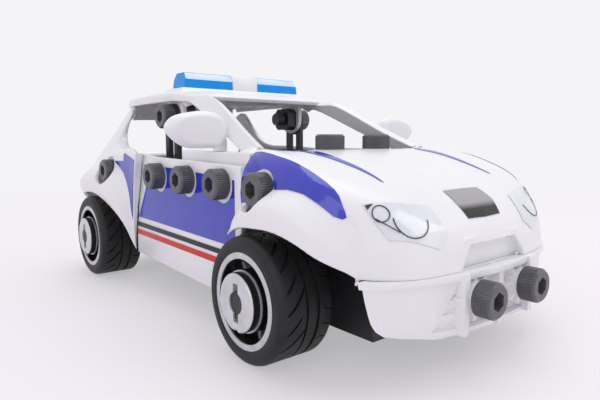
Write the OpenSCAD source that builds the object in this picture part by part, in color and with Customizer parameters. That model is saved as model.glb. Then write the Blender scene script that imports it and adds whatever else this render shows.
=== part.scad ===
// Toy police car that is bolted together: white moulded panels on a black frame of strips,
// carried by two keyed axles with rubber tyred wheels. Length runs along X with the nose at +X.

/* [Overall] */
// Distance between the two axles
wheelbase = 143; // [139:0.5:147]
// Front axle to the outer face of the bumper bolts
front_overhang = 57.9; // [57:0.1:60]
// Rear axle to the tail of the body
rear_overhang = 30.5; // [29.5:0.1:33]
// Half width of the body at the doors
body_half = 51.2; // [50.6:0.1:52.4]
// Height of the hood at the windscreen
shoulder_h = 66; // [65.4:0.1:67.4]
// Pitch of the fixing holes
hole_pitch = 25.4; // [25:0.1:25.8]
// Wall of the white panels
wall = 2; // [1.6:0.1:2.3]
// Play between neighbouring panels
panel_gap = 0.4; // [0.3:0.05:0.6]

/* [Fasteners] */
// Radius of a bolt head
head_r = 5.5; // [5:0.1:5.8]
// Height of a bolt head
head_h = 5.6; // [5:0.1:6]
// Chamfer round a bolt head
head_chamfer = 0.6; // [0.3:0.1:0.9]
// Radius of a bolt shank
shank_r = 3.1; // [2.8:0.05:3.3]
// Length of a bolt shank
shank_len = 14.3; // [13.8:0.1:15]
// Width of the hex socket across its flats
socket_af = 5; // [4:0.1:5.6]
// Depth of the hex socket
socket_depth = 3.6; // [2.5:0.1:4.2]
// Width of a square nut
nut_w = 11; // [10:0.1:11.6]
// Thickness of a square nut
nut_t = 5.6; // [5:0.1:6]
// Cut across the corners of a nut
nut_chamfer = 1.8; // [1:0.1:2.4]
// Radial play of a shank in a panel or strip
hole_play = 0.3; // [0.2:0.05:0.5]
// Radial play of a shank in its nut
nut_play = 0.05; // [0.03:0.01:0.1]

/* [Wheels] */
// Outer radius of a tyre
tyre_r = 20.35; // [20:0.05:20.6]
// Width of a tyre
tyre_w = 20; // [19:0.1:21]
// Outer side of a tyre from the middle plane
tyre_face = 61.2; // [60.8:0.1:62]
// Rounding of the outer shoulder of a tyre
tyre_shoulder = 2.2; // [1.6:0.1:3]
// Radius of the bright ring on a wheel
rim_r = 15.35; // [15:0.05:15.8]
// Radius of the seat of the tyre on the wheel
seat_r = 14.6; // [14.4:0.05:14.8]
// Radius inside the wheel ring
barrel_r = 13.4; // [13:0.1:13.8]
// Bright ring set back from the side of the tyre
rim_inset = 0.3; // [0.1:0.1:0.8]
// Thickness of the bright ring
flange_t = 1.2; // [0.9:0.1:1.6]
// Radius of the wheel boss
boss_r = 9.9; // [9.4:0.1:10.4]
// Spoke thickness along the axle
spoke_t = 2.4; // [1.8:0.1:3]
// Spoke width
spoke_w = 1.3; // [1:0.1:1.8]
// Pairs of spokes in a wheel
spoke_pairs = 5; // [3:1:7]
// Spokes set back from the face of the wheel
spoke_depth = 5.5; // [5:0.1:7]
// Radius of the keyed hub disc
hub_r = 9.4; // [9:0.1:9.8]
// Thickness of the keyed hub disc
hub_t = 2.8; // [2.4:0.1:3.4]
// Hub disc standing past the bright ring
hub_proud = 2.6; // [2:0.1:3.2]
// Radius of an axle
axle_r = 3.5; // [3.3:0.05:3.6]
// Width of an axle key
key_w = 2.4; // [2:0.1:2.8]
// Height of an axle key from the axle centre
key_r = 5.2; // [4.8:0.1:5.6]
// Axle end set back from the face of the hub disc
axle_inset = 0.5; // [0.3:0.1:1]
// Running play of an axle in its bearing
run_play = 0.06; // [0.03:0.01:0.1]
// Play of pieces that turn together
seat_play = 0.05; // [0.03:0.01:0.1]

/* [Doors] */
// Height of the lower edge of a door at its rear
sill_z = 17.2; // [16.6:0.1:18]
// Drop of that edge towards the front
sill_drop = 3.3; // [2.6:0.1:3.8]
// Top edge of a door above its row of bolts, at its front
door_rise = 6.5; // [6:0.1:7]
// Drop from the hood to the row of side bolts
rail_drop = 11.4; // [11:0.1:12.2]
// Front axle back to the first side bolt
rail_back = 1.3; // [0.8:0.1:2]
// Gap between a door and the front tyre
arch_gap = 3.2; // [2.8:0.1:4]

/* [Frame] */
// Underside of the chassis floor
floor_z = 9; // [8.5:0.1:9.6]
// Thickness of the chassis floor
floor_t = 3; // [2.6:0.1:3.4]
// Half width of the chassis between the wheels
spine_half = 33; // [32:0.1:33.6]
// Thickness of the axle cheeks
cheek_t = 3; // [2.4:0.1:3.6]
// Height of the axle cheeks
cheek_top = 36; // [34:0.5:37]
// Thickness of strips and brackets
strip_t = 3.5; // [3:0.1:3.8]
// Width of a side strip
rail_w = 9.2; // [8.8:0.1:9.4]
// Side strip set in from the inside of the doors
rail_gap = 1.6; // [1.4:0.1:2]
// Width of a post under a side strip
post_w = 8; // [6:0.1:9]
// Width of a cabin upright
upright_w = 12; // [11.4:0.1:12.6]
// Thickness of a cabin upright
upright_t = 2.2; // [1.8:0.1:2.6]
// Width of the roof tab behind an upright
tab_w = 15; // [14:0.1:16]
// Front axle back to the cabin uprights
upright_back = 94.3; // [93.6:0.1:95]
// Cabin uprights set in from the sides of the roof
upright_inset = 1.5; // [1.3:0.05:1.8]
// Drop from the seat of the light bar to the bolts of the cabin uprights
upright_drop = 13.1; // [12.7:0.1:13.5]
// Width of the slot in an upright
slot_w = 5; // [4.4:0.1:5.4]
// Height of the bumper bolts
bumper_bolt_z = 24.6; // [24:0.1:25.2]

/* [Cabin] */
// Height of the seat of the light bar
roof_h = 93.5; // [93:0.1:94.5]
// Side of the roof set in from the side of the body
roof_inset = 12.4; // [11.8:0.05:12.6]
// Height of the light bar
bar_h = 7.2; // [6.4:0.1:7.8]
// Depth of the light bar
bar_d = 12; // [11:0.1:13]
// End of the light bar set in from the side of the roof
bar_inset = 5.8; // [5.2:0.1:6.8]
// Half length of the white middle of the light bar
bar_mid_half = 7.2; // [6:0.1:8.5]
// Slope of the upper facets of the light bar
bar_slope = 2.2; // [1.6:0.1:2.8]
// Height of the upright wall of the light bar
bar_wall_h = 4; // [3.4:0.1:4.6]
// Thickness of the windscreen pillars
pillar_t = 3.2; // [2.6:0.1:3.6]

/* [Mirrors] */
// Front axle back to the mirrors
mirror_back = 38.6; // [37.6:0.1:39.6]
// Reach of a mirror from its inner end
mirror_reach = 25.2; // [24:0.1:26.4]
// Inner end of a mirror set in from the side of the body
mirror_inset = 9.3; // [8.6:0.1:9.4]
// Height of a mirror
mirror_h = 13.6; // [12.5:0.1:14.5]
// Thickness of a mirror
mirror_t = 5; // [4:0.1:5.6]

/* [Hidden] */
$fn = 48;
// Facets of round cuts in meshed shells
round_fn = 28;
overrun = 1;

panel_white = "whitesmoke";
frame_black = "#1c1c1f";
bolt_grey = "#6b6b73";
rim_silver = "#b9bbc2";
tyre_black = "#2a2a2c";
lens_blue = "#1687e8";

// Main places along X, measured so that the whole car is centred
nose_tip = (wheelbase + front_overhang + rear_overhang) / 2;
front_x = nose_tip - front_overhang;
rear_x = front_x - wheelbase;
tail_x = rear_x - rear_overhang;
boss_proud = 1.8;
bolt_seat_x = nose_tip - head_h;
nose_x = bolt_seat_x - boss_proud;
seam_back = 14.5;
seam_x = front_x - seam_back;
nose_len = nose_x - seam_x;
quarter_ahead = 56;
quarter_x = rear_x + quarter_ahead;
tail_len = quarter_x - tail_x;
axle_z = tyre_r;

// Widths and heights that follow the body, its hood and its roof
roof_half = body_half - roof_inset;
upright_y = roof_half - upright_inset;
upright_bolt_z = roof_h - upright_drop;
bar_half = roof_half - bar_inset;
mirror_in = body_half - mirror_inset;
rail_z = shoulder_h - rail_drop;
door_top = rail_z + door_rise;

// Layers of a side, from the door inwards
rail_y = body_half - wall - rail_gap;
rail_in_y = rail_y - strip_t;
rear_pad_rise = 1.2;
floor_top = floor_z + floor_t;
hole_r = shank_r + hole_play;
pad_r = head_r + hole_play;
pocket_play = 1.2;
pocket_r = head_r + pocket_play;
pocket_depth = 14;
boss_wall = 1.3;
boss_out_r = hole_r + boss_wall;
function rail_x(k) = front_x - rail_back - k * hole_pitch;

// Layers under the hood and behind the bumper
hood_bolt_x = front_x - hole_pitch / 2;
hood_pad_z = shoulder_h + panel_gap;
hood_seat_drop = 2.8;
hood_seat_z = hood_pad_z - hood_seat_drop;
bumper_t = 4.2;
bracket_x = nose_x - bumper_t - strip_t;
half_pitch = hole_pitch / 2;

// Layers of the roof at an upright
upright_x = front_x - upright_back;
upright_in_y = upright_y - upright_t;
tab_t = 2.2;
tab_in_y = upright_in_y - tab_t;

// Curves

function mix(a, b, t) = a + (b - a) * t;
function ramp(t) = let (c = min(1, max(0, t))) c * c * (3 - 2 * c);
function unit(v) = v / norm(v);
function flat(rows) = [for (row = rows) each row];
function turned(list) = [for (i = [len(list) - 1 : -1 : 0]) list[i]];
function flip_y(list) = [for (p = list) [p[0], -p[1], p[2]]];

// Point at t on a smooth curve through every point of a list
function curve_at(p, t) =
  let (
    n = len(p) - 1,
    i = min(floor(t), n - 1),
    f = t - i,
    b = p[i],
    c = p[i + 1],
    a = i > 0 ? p[i - 1] : 2 * b - c,
    d = i + 2 <= n ? p[i + 2] : 2 * c - b
  )
  (2 * b + (c - a) * f + (2 * a - 5 * b + 4 * c - d) * f * f + (3 * b - a - 3 * c + d) * f * f * f) / 2;
function curve(p, steps) = [for (k = [0 : steps * (len(p) - 1)]) curve_at(p, k / steps)];

// Outward normal of a grid of points, whose rows and columns turn right handed
function grid_normal(g, i, j) =
  let (
    r = len(g) - 1,
    c = len(g[0]) - 1,
    along = g[min(i + 1, r)][j] - g[max(i - 1, 0)][j],
    across = g[i][min(j + 1, c)] - g[i][max(j - 1, 0)]
  )
  unit(cross(along, across));
// Inner side of a grid, t below it, with a wall that starts thin over the rows of a lead
lead_share = 0.3;
function lead_wall(t, i, lead) = lead > 0 ? t * mix(lead_share, 1, ramp(i / lead)) : t;
function inner_grid(g, t, lead) =
  [
    for (i = [0 : len(g) - 1])
      [for (j = [0 : len(g[0]) - 1]) g[i][j] - lead_wall(t, i, lead) * grid_normal(g, i, j)]
  ];

// Closed shell of thickness t inside a grid of surface points
module skin(g, t, lead = 0) {
  shell(g, inner_grid(g, t, lead));
}
// Closed shell between a grid of surface points and a grid of the same size inside it
module shell(g, inner) {
  rows = len(g);
  cols = len(g[0]);
  n = rows * cols;
  points = concat(flat(g), flat(inner));
  function at(i, j) = i * cols + j;
  sides = [
    for (i = [0 : rows - 2])
      for (j = [0 : cols - 2])
        each [
          [at(i, j), at(i + 1, j + 1), at(i + 1, j)],
          [at(i, j), at(i, j + 1), at(i + 1, j + 1)],
          [n + at(i, j), n + at(i + 1, j), n + at(i + 1, j + 1)],
          [n + at(i, j), n + at(i + 1, j + 1), n + at(i, j + 1)]
        ]
  ];
  rim = concat(
    [for (j = [0 : cols - 1]) at(0, j)],
    [for (i = [1 : rows - 1]) at(i, cols - 1)],
    [for (j = [cols - 2 : -1 : 0]) at(rows - 1, j)],
    [for (i = [rows - 2 : -1 : 1]) at(i, 0)]
  );
  edge = [
    for (k = [0 : len(rim) - 1])
      let (a = rim[k], b = rim[(k + 1) % len(rim)])
        each [[a, n + b, b], [a, n + a, n + b]]
  ];
  polyhedron(points = points, faces = concat(sides, edge), convexity = 8);
}

// Moves a shape that stands along Z so that it points out along Y on a side, -1 right or 1 left
module sideways(x, y, z, side) {
  translate([x, side * y, z]) rotate([-90 * side, 0, 0]) children();
}
// Plate of thickness t across Y from a flat outline in X and Z, with its left face at y
module upright_plate(y, t) {
  translate([0, y, 0]) rotate([90, 0, 0]) linear_extrude(t) children();
}

// Rails of the front body, from the arch lip up to the middle of the hood: shares of the nose
// length, of the half width and of the hood height, one point for each station back to front
lip_shares = [
  [0.008, 1.125, 0.596], [0.078, 1.15, 0.626], [0.165, 1.158, 0.648], [0.292, 1.162, 0.659],
  [0.43, 1.152, 0.657], [0.552, 1.133, 0.627], [0.64, 1.084, 0.578], [0.7, 1.014, 0.54],
  [0.748, 0.955, 0.514], [0.785, 0.924, 0.496]
];
flare_shares = [
  [0.008, 1.07, 0.61], [0.058, 1.115, 0.674], [0.15, 1.143, 0.735], [0.292, 1.162, 0.765],
  [0.44, 1.162, 0.762], [0.552, 1.143, 0.73], [0.645, 1.084, 0.674], [0.708, 1.006, 0.621],
  [0.752, 0.95, 0.57], [0.784, 0.922, 0.497]
];
crease_shares = [
  [0, 1.002, 0.62], [0.05, 1.006, 0.705], [0.137, 1.016, 0.788], [0.292, 1.035, 0.833],
  [0.43, 1.035, 0.84], [0.538, 1.025, 0.824], [0.635, 0.996, 0.777], [0.7, 0.957, 0.72],
  [0.745, 0.93, 0.629], [0.784, 0.914, 0.498]
];
side_shares = [
  [0, 1, 0.864], [0.068, 1.003, 0.886], [0.176, 1.008, 0.902], [0.322, 1.012, 0.898],
  [0.46, 1.008, 0.876], [0.578, 0.996, 0.838], [0.675, 0.963, 0.776], [0.742, 0.912, 0.705],
  [0.785, 0.898, 0.62], [0.81, 0.89, 0.498]
];
shoulder_shares = [
  [0, 0.88, 1.005], [0.09, 0.9, 1.003], [0.215, 0.92, 0.989], [0.354, 0.93, 0.964],
  [0.49, 0.935, 0.921], [0.615, 0.935, 0.868], [0.705, 0.92, 0.8], [0.775, 0.875, 0.72],
  [0.825, 0.865, 0.62], [0.842, 0.862, 0.498]
];
middle_shares = [
  [0, 0, 1], [0.092, 0, 1.003], [0.215, 0, 0.994], [0.354, 0, 0.968], [0.508, 0, 0.927],
  [0.66, 0, 0.873], [0.8, 0, 0.803], [0.908, 0, 0.71], [0.97, 0, 0.615], [1, 0, 0.498]
];
// Where the flat of the nose ends, how far it sweeps back there, and how full its corner is
nose_flat_share = 0.47;
nose_sweep_share = 0.03;
corner_place_share = 0.62;
corner_full_share = 0.035;

// Height for a share of the hood height: what is below the tops of the tyres stays with them
tyre_top_share = 0.61667;
function height(s) =
  s < tyre_top_share ? 2 * tyre_r * s / tyre_top_share
    : mix(2 * tyre_r, shoulder_h, (s - tyre_top_share) / (1 - tyre_top_share));
function front_point(s) = [seam_x + s[0] * nose_len, -s[1] * body_half, height(s[2])];
function front_rail(shares) = [for (s = shares) front_point(s)];
flat_shares = [
  for (k = [0 : len(middle_shares) - 1])
    let (m = middle_shares[k])
      [m[0] - nose_sweep_share * ramp((k - 5) / 4), nose_flat_share, m[2]]
];
corner_shares = [
  for (k = [0 : len(middle_shares) - 1])
    mix(flat_shares[k], shoulder_shares[k], corner_place_share)
      + [corner_full_share * ramp((k - 3) / 3), 0, 0]
];
lower_shares = [lip_shares, flare_shares, crease_shares, side_shares];
upper_shares = [shoulder_shares, corner_shares, flat_shares, middle_shares];
front_rails = [for (s = concat(lower_shares, upper_shares)) front_rail(s)];
row_steps = 4;
flare_steps = 4;
hood_steps = 3;

// One row of the front body, from the right lip over the hood to the left lip
function front_row(t) =
  let (
    p = [for (r = front_rails) curve_at(r, t)],
    flare = curve([p[0], p[1], p[2]], flare_steps),
    half = [for (k = [2 : 7]) p[k]],
    top = curve(concat(half, flip_y(turned([for (k = [2 : 6]) p[k]]))), hood_steps),
    n = len(top)
  )
  concat(flare, [for (k = [1 : n - 2]) top[k]], flip_y(turned(flare)));
front_grid = [for (k = [0 : row_steps * (len(lip_shares) - 1)]) front_row(k / row_steps)];

// Rails of the rear body, from the top edge with its pillar down to the arch lip: shares of the
// tail length, of the half width and of the hood height, from the front edge round to the tail
rear_top_shares = [
  [0.066, 1.064, 0.965], [0.134, 1.025, 0.985], [0.308, 0.947, 1], [0.49, 0.85, 1.042],
  [0.596, 0.79, 1.37], [0.624, 0.706, 2], [0.733, 0.69, 1.968], [0.82, 0.781, 1.317],
  [0.889, 0.869, 0.94], [0.93, 0.79, 0.925], [0.957, 0.537, 0.925], [0.963, 0, 0.93]
];
rear_shoulder_shares = [
  [0.075, 1.09, 0.924], [0.15, 1.07, 0.955], [0.284, 1.045, 0.967], [0.421, 1.016, 0.97],
  [0.537, 0.996, 0.97], [0.63, 0.98, 0.97], [0.723, 0.969, 0.962], [0.81, 0.947, 0.947],
  [0.885, 0.908, 0.917], [0.939, 0.82, 0.9], [0.968, 0.547, 0.9], [0.974, 0, 0.906]
];
rear_crease_shares = [
  [0.194, 1.035, 0.455], [0.222, 1.06, 0.606], [0.289, 1.07, 0.765], [0.398, 1.07, 0.845],
  [0.514, 1.064, 0.879], [0.63, 1.055, 0.886], [0.733, 1.045, 0.871], [0.825, 1.016, 0.848],
  [0.902, 0.967, 0.81], [0.955, 0.879, 0.773], [0.982, 0.566, 0.758], [0.988, 0, 0.758]
];
rear_flare_shares = [
  [0.203, 1.02, 0.364], [0.262, 1.123, 0.553], [0.37, 1.162, 0.667], [0.48, 1.178, 0.735],
  [0.584, 1.184, 0.765], [0.676, 1.184, 0.773], [0.769, 1.176, 0.755], [0.861, 1.146, 0.712],
  [0.93, 1.074, 0.674], [0.975, 0.924, 0.606], [0.995, 0.605, 0.545], [1, 0, 0.545]
];
rear_lip_shares = [
  [0.202, 1.014, 0.273], [0.252, 1.104, 0.47], [0.364, 1.139, 0.568], [0.48, 1.148, 0.615],
  [0.584, 1.152, 0.642], [0.676, 1.152, 0.647], [0.769, 1.145, 0.636], [0.855, 1.123, 0.617],
  [0.925, 1.064, 0.576], [0.968, 0.928, 0.455], [0.988, 0.625, 0.318], [0.993, 0, 0.303]
];
// Rear pillars rise from the hood height at share 1 to their top under the roof at share 2
rear_pillar_drop = 8.756;
function pillar_height(s) = mix(shoulder_h, roof_h - rear_pillar_drop, s - 1);
function rear_height(s) = s > 1 ? pillar_height(s) : height(s);
function rear_point(s) = [quarter_x - s[0] * tail_len, -s[1] * body_half, rear_height(s[2])];
function rear_rail(shares) =
  let (right = [for (s = shares) rear_point(s)], n = len(right))
  concat(right, flip_y(turned([for (k = [0 : n - 2]) right[k]])));
rear_side_shares = [rear_top_shares, rear_shoulder_shares, rear_crease_shares];
rear_arch_shares = [rear_flare_shares, rear_lip_shares];
rear_rails = [for (s = concat(rear_side_shares, rear_arch_shares)) rear_rail(s)];
function rear_row(t) =
  let (
    p = [for (r = rear_rails) curve_at(r, t)],
    upper = curve([p[0], p[1], p[2]], row_steps),
    lower = curve([p[2], p[3], p[4]], flare_steps)
  )
  concat(upper, [for (k = [1 : len(lower) - 1]) lower[k]]);
rear_grid = [for (k = [0 : row_steps * (len(rear_rails[0]) - 1)]) rear_row(k / row_steps)];

// Rails of the roof: shares of the roof length from its rear edge, of its half width and of its drop
roof_behind = 61;
roof_back_x = upright_x - roof_behind;
roof_len = 90;
roof_drop = 6.5;
roof_eave_z = roof_h - roof_drop;
roof_mid_shares = [
  [0, 0, 0.432], [0.13, 0, 0.201], [0.38, 0, 0.101], [0.65, 0, 0.101], [0.82, 0, 0.302], [0.9, 0, 0.69]
];
roof_quarter_shares = [
  [0.01, 0.62, 0.46], [0.135, 0.62, 0.23], [0.38, 0.62, 0.129], [0.65, 0.62, 0.129],
  [0.83, 0.62, 0.316], [0.91, 0.6, 0.705]
];
roof_edge_shares = [
  [0.06, 0.87, 0.604], [0.15, 0.93, 0.403], [0.38, 0.962, 0.302], [0.65, 0.962, 0.302],
  [0.81, 0.95, 0.46], [0.93, 0.925, 0.748]
];
roof_flange_shares = [
  [0.07, 0.9, 1.093], [0.16, 0.97, 1.021], [0.38, 1, 0.964], [0.65, 1, 0.964],
  [0.8, 0.99, 1.036], [0.9, 0.972, 1.122]
];
function roof_point(s) =
  [roof_back_x + s[0] * roof_len, -s[1] * roof_half, roof_h - s[2] * roof_drop];
roof_rails = [
  for (s = [roof_flange_shares, roof_edge_shares, roof_quarter_shares, roof_mid_shares])
    [for (p = s) roof_point(p)]
];
function roof_row(t) =
  let (p = [for (r = roof_rails) curve_at(r, t)])
  curve(concat(p, flip_y(turned([for (k = [0 : 2]) p[k]]))), row_steps);
roof_grid = [for (k = [0 : row_steps * (len(roof_mid_shares) - 1)]) roof_row(k / row_steps)];

// Lip of the roof over the rear window, from the inner part of its rear edge down
header_drop = 9.6;
header_back = 1.5;
header_in = 0.6;
header_edge = [for (j = [row_steps + 1 : 5 * row_steps - 1]) roof_grid[0][j]];
header_grid = [
  [for (p = header_edge) p - [header_back, 0, header_drop]],
  [for (p = header_edge) p + [header_in, 0, -header_in]]
];

// Edges of a windscreen pillar from the roof down: shares of the seam distance, of the step from
// the side of the roof to that of the body, and of the rise from the hood to the eave of the roof
screen_len = seam_x - upright_x;
pillar_upper_shares = [
  [0.2, -0.29, 1.129], [0.3, -0.23, 1.082], [0.46, -0.214, 1.007], [0.755, 0.059, 0.472],
  [0.985, 0.339, 0.081]
];
pillar_lower_shares = [
  [0.1, -0.113, 1.029], [0.13, -0.09, 0.98], [0.245, -0.078, 0.949], [0.555, 0.125, 0.472],
  [0.893, 0.43, -0.071]
];
function pillar_point(s) =
  [
    upright_x + s[0] * screen_len, -mix(roof_half, body_half, s[1]),
    mix(shoulder_h, roof_eave_z, s[2])
  ];
pillar_cols = 4;
function pillar_row(t) =
  let (
    a = curve_at([for (s = pillar_lower_shares) pillar_point(s)], t),
    b = curve_at([for (s = pillar_upper_shares) pillar_point(s)], t)
  )
  [for (c = [0 : pillar_cols]) mix(a, b, c / pillar_cols)];
pillar_grid = [for (k = [0 : row_steps * (len(pillar_upper_shares) - 1)]) pillar_row(k / row_steps)];

// Fasteners

// Socket head bolt, head outwards from z = 0 and its shank below
module bolt() {
  color(bolt_grey)
    difference() {
      union() {
        cylinder(r = head_r, h = head_h - head_chamfer);
        translate([0, 0, head_h - head_chamfer])
          cylinder(r1 = head_r, r2 = head_r - head_chamfer, h = head_chamfer);
        translate([0, 0, -shank_len]) cylinder(r = shank_r, h = shank_len + overrun);
      }
      translate([0, 0, head_h - socket_depth])
        cylinder(d = socket_af / cos(30), h = socket_depth + overrun, $fn = 6);
    }
}

// Square nut with cut corners, its seat at z = 0 and its body below
module nut() {
  side = nut_w / 2;
  cut = side - nut_chamfer;
  color(frame_black)
    translate([0, 0, -nut_t])
      difference() {
        linear_extrude(nut_t)
          polygon([
            [side, -cut], [side, cut], [cut, side], [-cut, side],
            [-side, cut], [-side, -cut], [-cut, -side], [cut, -side]
          ]);
        translate([0, 0, -overrun]) cylinder(r = shank_r + nut_play, h = nut_t + 2 * overrun);
      }
}

hood_bracket_z = hood_seat_z - strip_t;

module door_bolts(side) {
  for (k = [1 : 3]) sideways(rail_x(k), body_half, rail_z, side) bolt();
}
module door_nuts(side) {
  for (k = [1 : 3]) sideways(rail_x(k), rail_in_y, rail_z, side) nut();
}
module door_bolts_right() { door_bolts(-1); }
module door_bolts_left() { door_bolts(1); }
module door_nuts_right() { door_nuts(-1); }
module door_nuts_left() { door_nuts(1); }
module fender_bolts() {
  for (side = [-1, 1]) sideways(rail_x(0), body_half, rail_z, side) bolt();
}
module fender_nuts() {
  for (side = [-1, 1]) sideways(rail_x(0), rail_in_y, rail_z, side) nut();
}
module rear_fender_bolts() {
  for (side = [-1, 1]) sideways(rail_x(5), body_half + rear_pad_rise, rail_z, side) bolt();
}
module rear_fender_nuts() {
  for (side = [-1, 1]) sideways(rail_x(5), rail_in_y, rail_z, side) nut();
}
module hood_bolts() {
  for (side = [-1, 1]) translate([hood_bolt_x, side * half_pitch, hood_pad_z]) bolt();
}
module hood_nuts() {
  for (side = [-1, 1]) translate([hood_bolt_x, side * half_pitch, hood_bracket_z]) nut();
}
module bumper_bolts() {
  for (side = [-1, 1])
    translate([bolt_seat_x, side * half_pitch, bumper_bolt_z]) rotate([0, 90, 0]) bolt();
}
module bumper_nuts() {
  for (side = [-1, 1])
    translate([bracket_x, side * half_pitch, bumper_bolt_z]) rotate([0, 90, 0]) nut();
}
module upright_bolts() {
  for (side = [-1, 1]) sideways(upright_x, upright_y, upright_bolt_z, side) bolt();
}
module upright_nuts() {
  for (side = [-1, 1]) sideways(upright_x, tab_in_y, upright_bolt_z, side) nut();
}

// Frame

cheek_ahead = 29;
cheek_behind = 17;
cheek_round = 4;
tail_room = 9;
floor_front = front_x + cheek_ahead;
floor_back = tail_x + tail_room;
bracket_half = 18.6;
pad_len = 14;
pad_h = 3.2;
pad_top = floor_top + pad_h;
waist_inset = 27;
waist_back = rear_x + waist_inset;
waist_front = front_x - waist_inset;
waist_half = rail_in_y;
waist_rise = 5;
waist_z = floor_z + waist_rise;
waist_top = waist_z + floor_t;
post_places = [1.5, 4.25];
grid_x = (front_x + rear_x) / 2;

// Moulded floor with the four axle cheeks, a pad for the front angle and the posts of the side strips
module chassis() {
  color(frame_black)
    difference() {
      union() {
        translate([floor_back, -spine_half, floor_z])
          cube([floor_front - floor_back, 2 * spine_half, floor_t]);
        translate([waist_back, -waist_half, waist_z])
          cube([waist_front - waist_back, 2 * waist_half, floor_t]);
        translate([floor_front - pad_len, -bracket_half, floor_z])
          cube([pad_len, 2 * bracket_half, pad_top - floor_z]);
        for (side = [-1, 1])
          translate([waist_back, side > 0 ? spine_half - cheek_t : -spine_half, floor_z])
            cube([waist_front - waist_back, cheek_t, waist_top - floor_z]);
        for (side = [-1, 1]) {
          axle_cheek(front_x, side, cheek_behind, cheek_ahead);
          axle_cheek(rear_x, side, cheek_behind, cheek_behind);
          for (k = post_places) rail_post(rail_x(k), side);
        }
      }
      for (x = [front_x, rear_x])
        translate([x, spine_half + overrun, axle_z])
          rotate([90, 0, 0])
            cylinder(r = axle_r + run_play, h = 2 * (spine_half + overrun));
      for (i = [-1, 1])
        for (j = [-1, 1])
          translate([grid_x + i * hole_pitch, j * half_pitch, floor_z - overrun])
            cylinder(r = hole_r, h = waist_top - floor_z + 2 * overrun);
    }
}
module axle_cheek(x, side, behind, ahead) {
  y = side > 0 ? spine_half : cheek_t - spine_half;
  translate([x, y, 0])
    rotate([90, 0, 0])
      linear_extrude(cheek_t)
        polygon([
          [-behind, floor_z], [ahead, floor_z], [ahead, cheek_top - cheek_round],
          [ahead - cheek_round, cheek_top], [cheek_round - behind, cheek_top],
          [-behind, cheek_top - cheek_round]
        ]);
}
module rail_post(x, side) {
  y = side > 0 ? waist_half - strip_t : -waist_half;
  translate([x - post_w / 2, y, waist_z])
    cube([post_w, strip_t, rail_z + rail_w / 2 - waist_z]);
}

// Straight strip with rounded ends and six holes, behind the side panels
module side_strip(side) {
  color(frame_black)
    sideways(0, rail_in_y, rail_z, side)
      difference() {
        union() {
          translate([rail_x(5), -rail_w / 2, 0]) cube([rail_x(0) - rail_x(5), rail_w, strip_t]);
          for (k = [0, 5]) translate([rail_x(k), 0, 0]) cylinder(d = rail_w, h = strip_t);
        }
        for (k = [0 : 5])
          translate([rail_x(k), 0, -overrun]) cylinder(r = hole_r, h = strip_t + 2 * overrun);
      }
}
module side_strip_right() { side_strip(-1); }
module side_strip_left() { side_strip(1); }

// Upright strip from the floor to the roof, with a round top, a long slot and one bolt hole
slot_low = waist_top + upright_w;
slot_end = 4.6;
slot_high = upright_bolt_z - hole_r - slot_end;
module cabin_upright(side) {
  color(frame_black)
    sideways(upright_x, upright_in_y, 0, side)
      rotate([0, 0, side > 0 ? 180 : 0])
        difference() {
          union() {
            translate([-upright_w / 2, waist_top, 0])
              cube([upright_w, upright_bolt_z - waist_top, upright_t]);
            translate([0, upright_bolt_z, 0]) cylinder(d = upright_w, h = upright_t);
          }
          translate([0, upright_bolt_z, -overrun]) cylinder(r = hole_r, h = upright_t + 2 * overrun);
          translate([-slot_w / 2, slot_low, -overrun])
            cube([slot_w, slot_high - slot_low, upright_t + 2 * overrun]);
        }
}
module cabin_upright_right() { cabin_upright(-1); }
module cabin_upright_left() { cabin_upright(1); }

// Angle behind the bumper, its foot on the pad at the front end of the floor
bracket_top = bumper_bolt_z + nut_w / 2;
module front_bracket() {
  foot_x = floor_front - pad_len;
  color(frame_black)
    difference() {
      union() {
        translate([bracket_x, -bracket_half, pad_top])
          cube([strip_t, 2 * bracket_half, bracket_top - pad_top]);
        translate([foot_x, -bracket_half, pad_top])
          cube([bracket_x + strip_t - foot_x, 2 * bracket_half, strip_t]);
      }
      for (side = [-1, 1])
        translate([bracket_x - overrun, side * half_pitch, bumper_bolt_z])
          rotate([0, 90, 0]) cylinder(r = hole_r, h = strip_t + 2 * overrun);
    }
}

// Angle from the floor up to the hood bolts
hood_bracket_half = 19;
hood_bracket_back = 9;
hood_bracket_fore = 8;
module hood_bracket() {
  back = hood_bolt_x - hood_bracket_back;
  color(frame_black)
    difference() {
      union() {
        translate([back, -hood_bracket_half, floor_top])
          cube([strip_t, 2 * hood_bracket_half, hood_seat_z - floor_top]);
        translate([back, -hood_bracket_half, hood_bracket_z])
          cube([hood_bracket_back + hood_bracket_fore, 2 * hood_bracket_half, strip_t]);
      }
      for (side = [-1, 1])
        translate([hood_bolt_x, side * half_pitch, hood_bracket_z - overrun])
          cylinder(r = hole_r, h = strip_t + 2 * overrun);
    }
}

// White panels

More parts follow.
